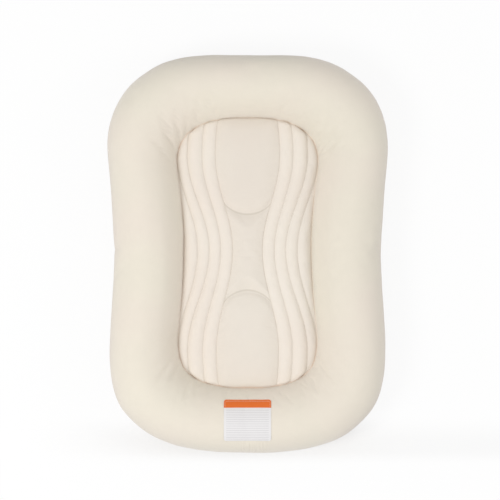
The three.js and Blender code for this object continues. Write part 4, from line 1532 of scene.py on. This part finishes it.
def spacer_material(colours):
    """Warp-knitted spacer cloth: close rows of small dimples, with painted shade in them."""
    shader = Shader.of_material("spacer_cloth")
    x, y = shader.plan_parts(shader.object_point())
    turn = FULL_TURN / DIMPLE_PITCH
    third = math.sqrt(3) / 2
    waves = (x * turn).cosine()
    for slant in (turn, -turn):
        waves = waves + (x * (turn / 2) + y * (slant * third)).cosine()
    pit = waves.eased(0.7, 2.6)
    mottle = shader.noise(40, 3)
    ground = shader.varied(mottle, colours.spacer, 0.94, 1.02)
    return shader.principled({
        # Painted shade in the dimples: they take a darker copy of the cloth colour
        "Base Color": shader.mixed(pit, ground, rgba(colours.spacer, 0.7)),
        "Roughness": mottle * 0.1 + 0.8,
        "Normal": shader.bump(1 - pit, 0.0006),
        "Sheen Weight": 0.1,
    })


def make_sling():
    """The insert's inner cloth, stretched flat across the ring: rings of points round its middle."""
    low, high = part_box("insert_sling")
    outline = smooth_loop(from_head_end(level_points("insert_sling", high.z)), steps=3)
    plan = np.concatenate([outline * share for share in SLING_SHARES])
    dip = SLING_DIP * abs(noise_at(*(plan / SLING_DIP_SIZE).T))
    points = np.concatenate([plan, (high.z - SLING_CLEAR - dip)[:, None]], axis=1)
    faces = grid_faces(len(SLING_SHARES), len(outline), closed_columns=True).tolist()
    faces.append(list(range(len(plan) - len(outline), len(plan))))
    piece = make_object("inner_sling", points, faces)
    with editing(piece) as shape:
        bmesh.ops.recalc_face_normals(shape, faces=shape.faces)
    corner_map(piece, [tuple(points[loop.vertex_index, :2]) for loop in piece.data.loops])
    apply_modifier(piece, "SOLIDIFY", thickness=high.z - low.z - 2 * SLING_CLEAR, offset=-1)
    shade_smooth(piece, SMOOTH_ANGLE)
    size = outline.max(axis=0) - outline.min(axis=0)
    area = sum(polygon.area for polygon in piece.data.polygons) / 2
    return piece, tuple(float(side) for side in size), area


class LOUNGER_OT_sling(Operator):
    """Makes the insert's inner cloth, which shows between the zip's rows"""

    bl_idname = "lounger.sling"
    bl_label = "Inner sling"

    def execute(self, context):
        piece, flat, area = make_sling()
        for name in ("seam", "blush", "quilting"):
            point_attribute(piece, name, np.zeros(len(piece.data.vertices)))
        cloth = soft_cloth("insert_cloth", settings("colours").cover, SLING_WEAVE)
        dress(piece, cloth, "insert_cloth", "insert_sling")
        return {"FINISHED"}


class LOUNGER_OT_base(Operator):
    """Makes the two halves of the base in spacer cloth, topstitched round their edges"""

    bl_idname = "lounger.base"
    bl_label = "Base"

    def execute(self, context):
        colours = settings("colours")
        spacer = spacer_material(colours)
        thread = thread_material("base_thread", colours.thread)
        for side, sign in SIDES.items():
            piece, lines = make_base_panel("base_cloth_" + side, sign)
            dress(piece, spacer, "spacer_cloth", "base_panel_" + side)
            stitches = sewn("base_stitches_" + side, lines, piece, BASE_STITCH, from_above=False)
            dress(stitches, thread, "spacer_cloth")
        return {"FINISHED"}


# Zip

# The tape's mesh, how far it stays clear of its CAD solid's faces, and the cord woven into its edge
TAPE_ROWS = 241
TAPE_COLUMNS = 13
TAPE_CLEAR = 0.0001
CORD_RISE = 0.0001
CORD_REACH = 0.0012
TAPE_WAVE = 0.00006
TAPE_WAVE_SIZE = (0.006, 0.02)
# Sides of the coil's wire, and its steps in a turn
WIRE_SIDES = 5
TURN_STEPS = 9
TWILL_PITCH = 0.0009
# The metal's rounded edges, and the angle in degrees from which an edge is one
METAL_BEVEL = 0.00018
METAL_ANGLE = 35
METAL_PIECES = {
    "zip_slider": "polished_slider",
    "zip_pull": "polished_pull",
    "zip_top_stop_left": "polished_top_stop_left",
    "zip_top_stop_right": "polished_top_stop_right",
    "zip_bottom_stop": "polished_bottom_stop",
}


def make_tape(name, sign):
    """A woven tape with a slightly wavy surface, closed by its thickness."""
    low, high = TAPE_LOW, TAPE_HIGH
    y, x = np.meshgrid(np.linspace(low.y, high.y, TAPE_ROWS), np.linspace(low.x, high.x, TAPE_COLUMNS),
                       indexing="ij")
    cord = dome_near(x - low.x, CORD_REACH) * CORD_RISE
    wave = TAPE_WAVE * noise_at(x / TAPE_WAVE_SIZE[0], y / TAPE_WAVE_SIZE[1])
    z = high.z - TAPE_CLEAR - cord + wave
    points = np.stack([sign * x, y, z], axis=2).reshape(-1, 3)
    faces = grid_faces(TAPE_ROWS, TAPE_COLUMNS)[:, ::sign]
    piece = make_object(name, points, faces.tolist())
    corner_map(piece, points[faces.ravel(), :2])
    apply_modifier(piece, "SOLIDIFY", thickness=high.z - low.z - 2 * TAPE_CLEAR, offset=-1)
    shade_smooth(piece, SMOOTH_ANGLE)
    return piece


def make_coil(name, sign):
    """One row of a nylon coil: a single wire wound along the zip, which reaches a little over the
    centre line between the turns of the other row."""
    zipper = settings("zip")
    wire = zipper.coil_wire
    inner_x = -zipper.coil_overlap
    radius = (TEETH_HIGH.z - TEETH_LOW.z) / 2 - wire
    stretch = (TEETH_HIGH.x - inner_x) / 2 / (radius + wire)
    start_y = TEETH_LOW.y + (zipper.coil_pitch / 2 if sign < 0 else 0)
    middle = Vector((sign * (inner_x + TEETH_HIGH.x) / 2, start_y, (TEETH_LOW.z + TEETH_HIGH.z) / 2))
    turns = int((TEETH_HIGH.y - start_y - 2 * wire) / zipper.coil_pitch)
    bpy.ops.object.select_all(action="DESELECT")
    bpy.ops.mesh.primitive_circle_add(vertices=WIRE_SIDES, radius=wire, location=middle)
    piece = bpy.context.object
    piece.name = name
    bpy.ops.object.mode_set(mode="EDIT")
    bpy.ops.mesh.select_all(action="SELECT")
    bpy.ops.transform.translate(value=(sign * radius, wire, 0))
    bpy.ops.object.mode_set(mode="OBJECT")
    apply_modifier(piece, "SCREW", axis="Y", steps=TURN_STEPS, render_steps=TURN_STEPS, iterations=turns,
                   screw_offset=zipper.coil_pitch, angle=sign * FULL_TURN)
    piece.scale = (stretch, 1, 1)
    bpy.ops.object.transform_apply(location=True, rotation=True, scale=True)
    with editing(piece) as shape:
        close_holes(shape)
    shade_smooth(piece)
    return piece


def polished(node, name):
    """A copy of a small metal solid with its edges rounded off."""
    piece = frame["nodes"][node].copy()
    piece.data = frame["nodes"][node].data.copy()
    piece.name = name
    piece.parent = None
    bpy.context.scene.collection.objects.link(piece)
    piece.data.materials.clear()
    with editing(piece) as shape:
        bmesh.ops.remove_doubles(shape, verts=shape.verts, dist=1e-6)
        bmesh.ops.dissolve_limit(shape, angle_limit=math.radians(1), verts=shape.verts, edges=shape.edges)
    apply_modifier(piece, "BEVEL", width=METAL_BEVEL, segments=2, limit_method="ANGLE",
                   angle_limit=math.radians(METAL_ANGLE))
    shade_smooth(piece, METAL_ANGLE)
    return piece


def metal_material(colours):
    """Nickel-plated metal with fine scratches and a worn, smoother bloom."""
    shader = Shader.of_material("zip_metal")
    mottle = shader.noise(900, 3)
    scratch = shader.noise(5200, 1)
    return shader.principled({
        "Base Color": shader.varied(mottle, colours.metal, 0.86, 1.02),
        "Metallic": 1.0,
        "Roughness": mottle * 0.16 + scratch * 0.06 + 0.22,
        "Normal": shader.bump(scratch, 0.00003),
    })


def nylon_material(colours):
    """Nylon wire with a soft, slightly uneven gloss."""
    shader = Shader.of_material("zip_nylon")
    mottle = shader.noise(300, 2)
    return shader.principled({
        "Base Color": shader.varied(mottle, colours.nylon, 0.94, 1.04),
        "Roughness": mottle * 0.15 + 0.35,
        "Specular IOR Level": 0.5,
    })


def tape_material(colours):
    """Close twill tape."""
    shader = Shader.of_material("zip_tape")
    across, along = shader.cloth_uv()
    twill = (across + along).ribs(TWILL_PITCH)
    mottle = shader.noise(200, 3)
    return shader.principled({
        "Base Color": shader.varied(twill * 0.5 + mottle * 0.5, colours.tape, 0.9, 1.04),
        "Roughness": mottle * 0.1 + 0.75,
        "Normal": shader.bump(twill, 0.00012),
    })


class LOUNGER_OT_zip(Operator):
    """Makes the zip under the base: tapes, coils, stops, slider and pull"""

    bl_idname = "lounger.zip"
    bl_label = "Zip"

    def execute(self, context):
        colours = settings("colours")
        tape, nylon, metal = tape_material(colours), nylon_material(colours), metal_material(colours)
        for side, sign in SIDES.items():
            band = make_tape("zip_band_" + side, sign)
            dress(band, tape, "zip_tape", "zip_tape_" + side)
            coil = make_coil("zip_coil_" + side, sign)
            dress(coil, nylon, "zip_nylon", "zip_teeth_" + side)
        for node, name in METAL_PIECES.items():
            dress(polished(node, name), metal, "zip_metal", node, body=body_of(node))
        return {"FINISHED"}


# Settings, panel and run

SETTINGS = {
    "view": ViewSettings,
    "bolster": BolsterSettings,
    "quilt": QuiltSettings,
    "patch": PatchSettings,
    "zip": ZipSettings,
    "colours": LoungerColours,
}
OPERATORS = [LOUNGER_OT_camera, LOUNGER_OT_stage, LOUNGER_OT_bolster, LOUNGER_OT_quilt,
             LOUNGER_OT_quilting, LOUNGER_OT_patch, LOUNGER_OT_sling, LOUNGER_OT_base, LOUNGER_OT_zip]


class LOUNGER_PT_panel(Panel):
    """Lists the lounger's pieces and their settings"""

    bl_idname = "LOUNGER_PT_panel"
    bl_label = "Lounger"
    bl_space_type = "VIEW_3D"
    bl_region_type = "UI"
    bl_category = "Lounger"

    def draw(self, context):
        for operator in OPERATORS:
            self.layout.operator(operator.bl_idname)
        for name, group in SETTINGS.items():
            box = self.layout.box()
            box.label(text=name.capitalize())
            for key in group.__annotations__:
                box.prop(settings(name), key)


CLASSES = [*SETTINGS.values(), *OPERATORS, LOUNGER_PT_panel]


def register():
    for cls in CLASSES:
        bpy.utils.register_class(cls)
    for name, group in SETTINGS.items():
        setattr(bpy.types.Scene, "lounger_" + name, PointerProperty(type=group))


def unregister():
    for name in SETTINGS:
        delattr(bpy.types.Scene, "lounger_" + name)
    for cls in reversed(CLASSES):
        bpy.utils.unregister_class(cls)


def main():
    register()
    for operator in OPERATORS:
        getattr(bpy.ops.lounger, operator.bl_idname.split(".")[1])()


if __name__ == "__main__":
    main()
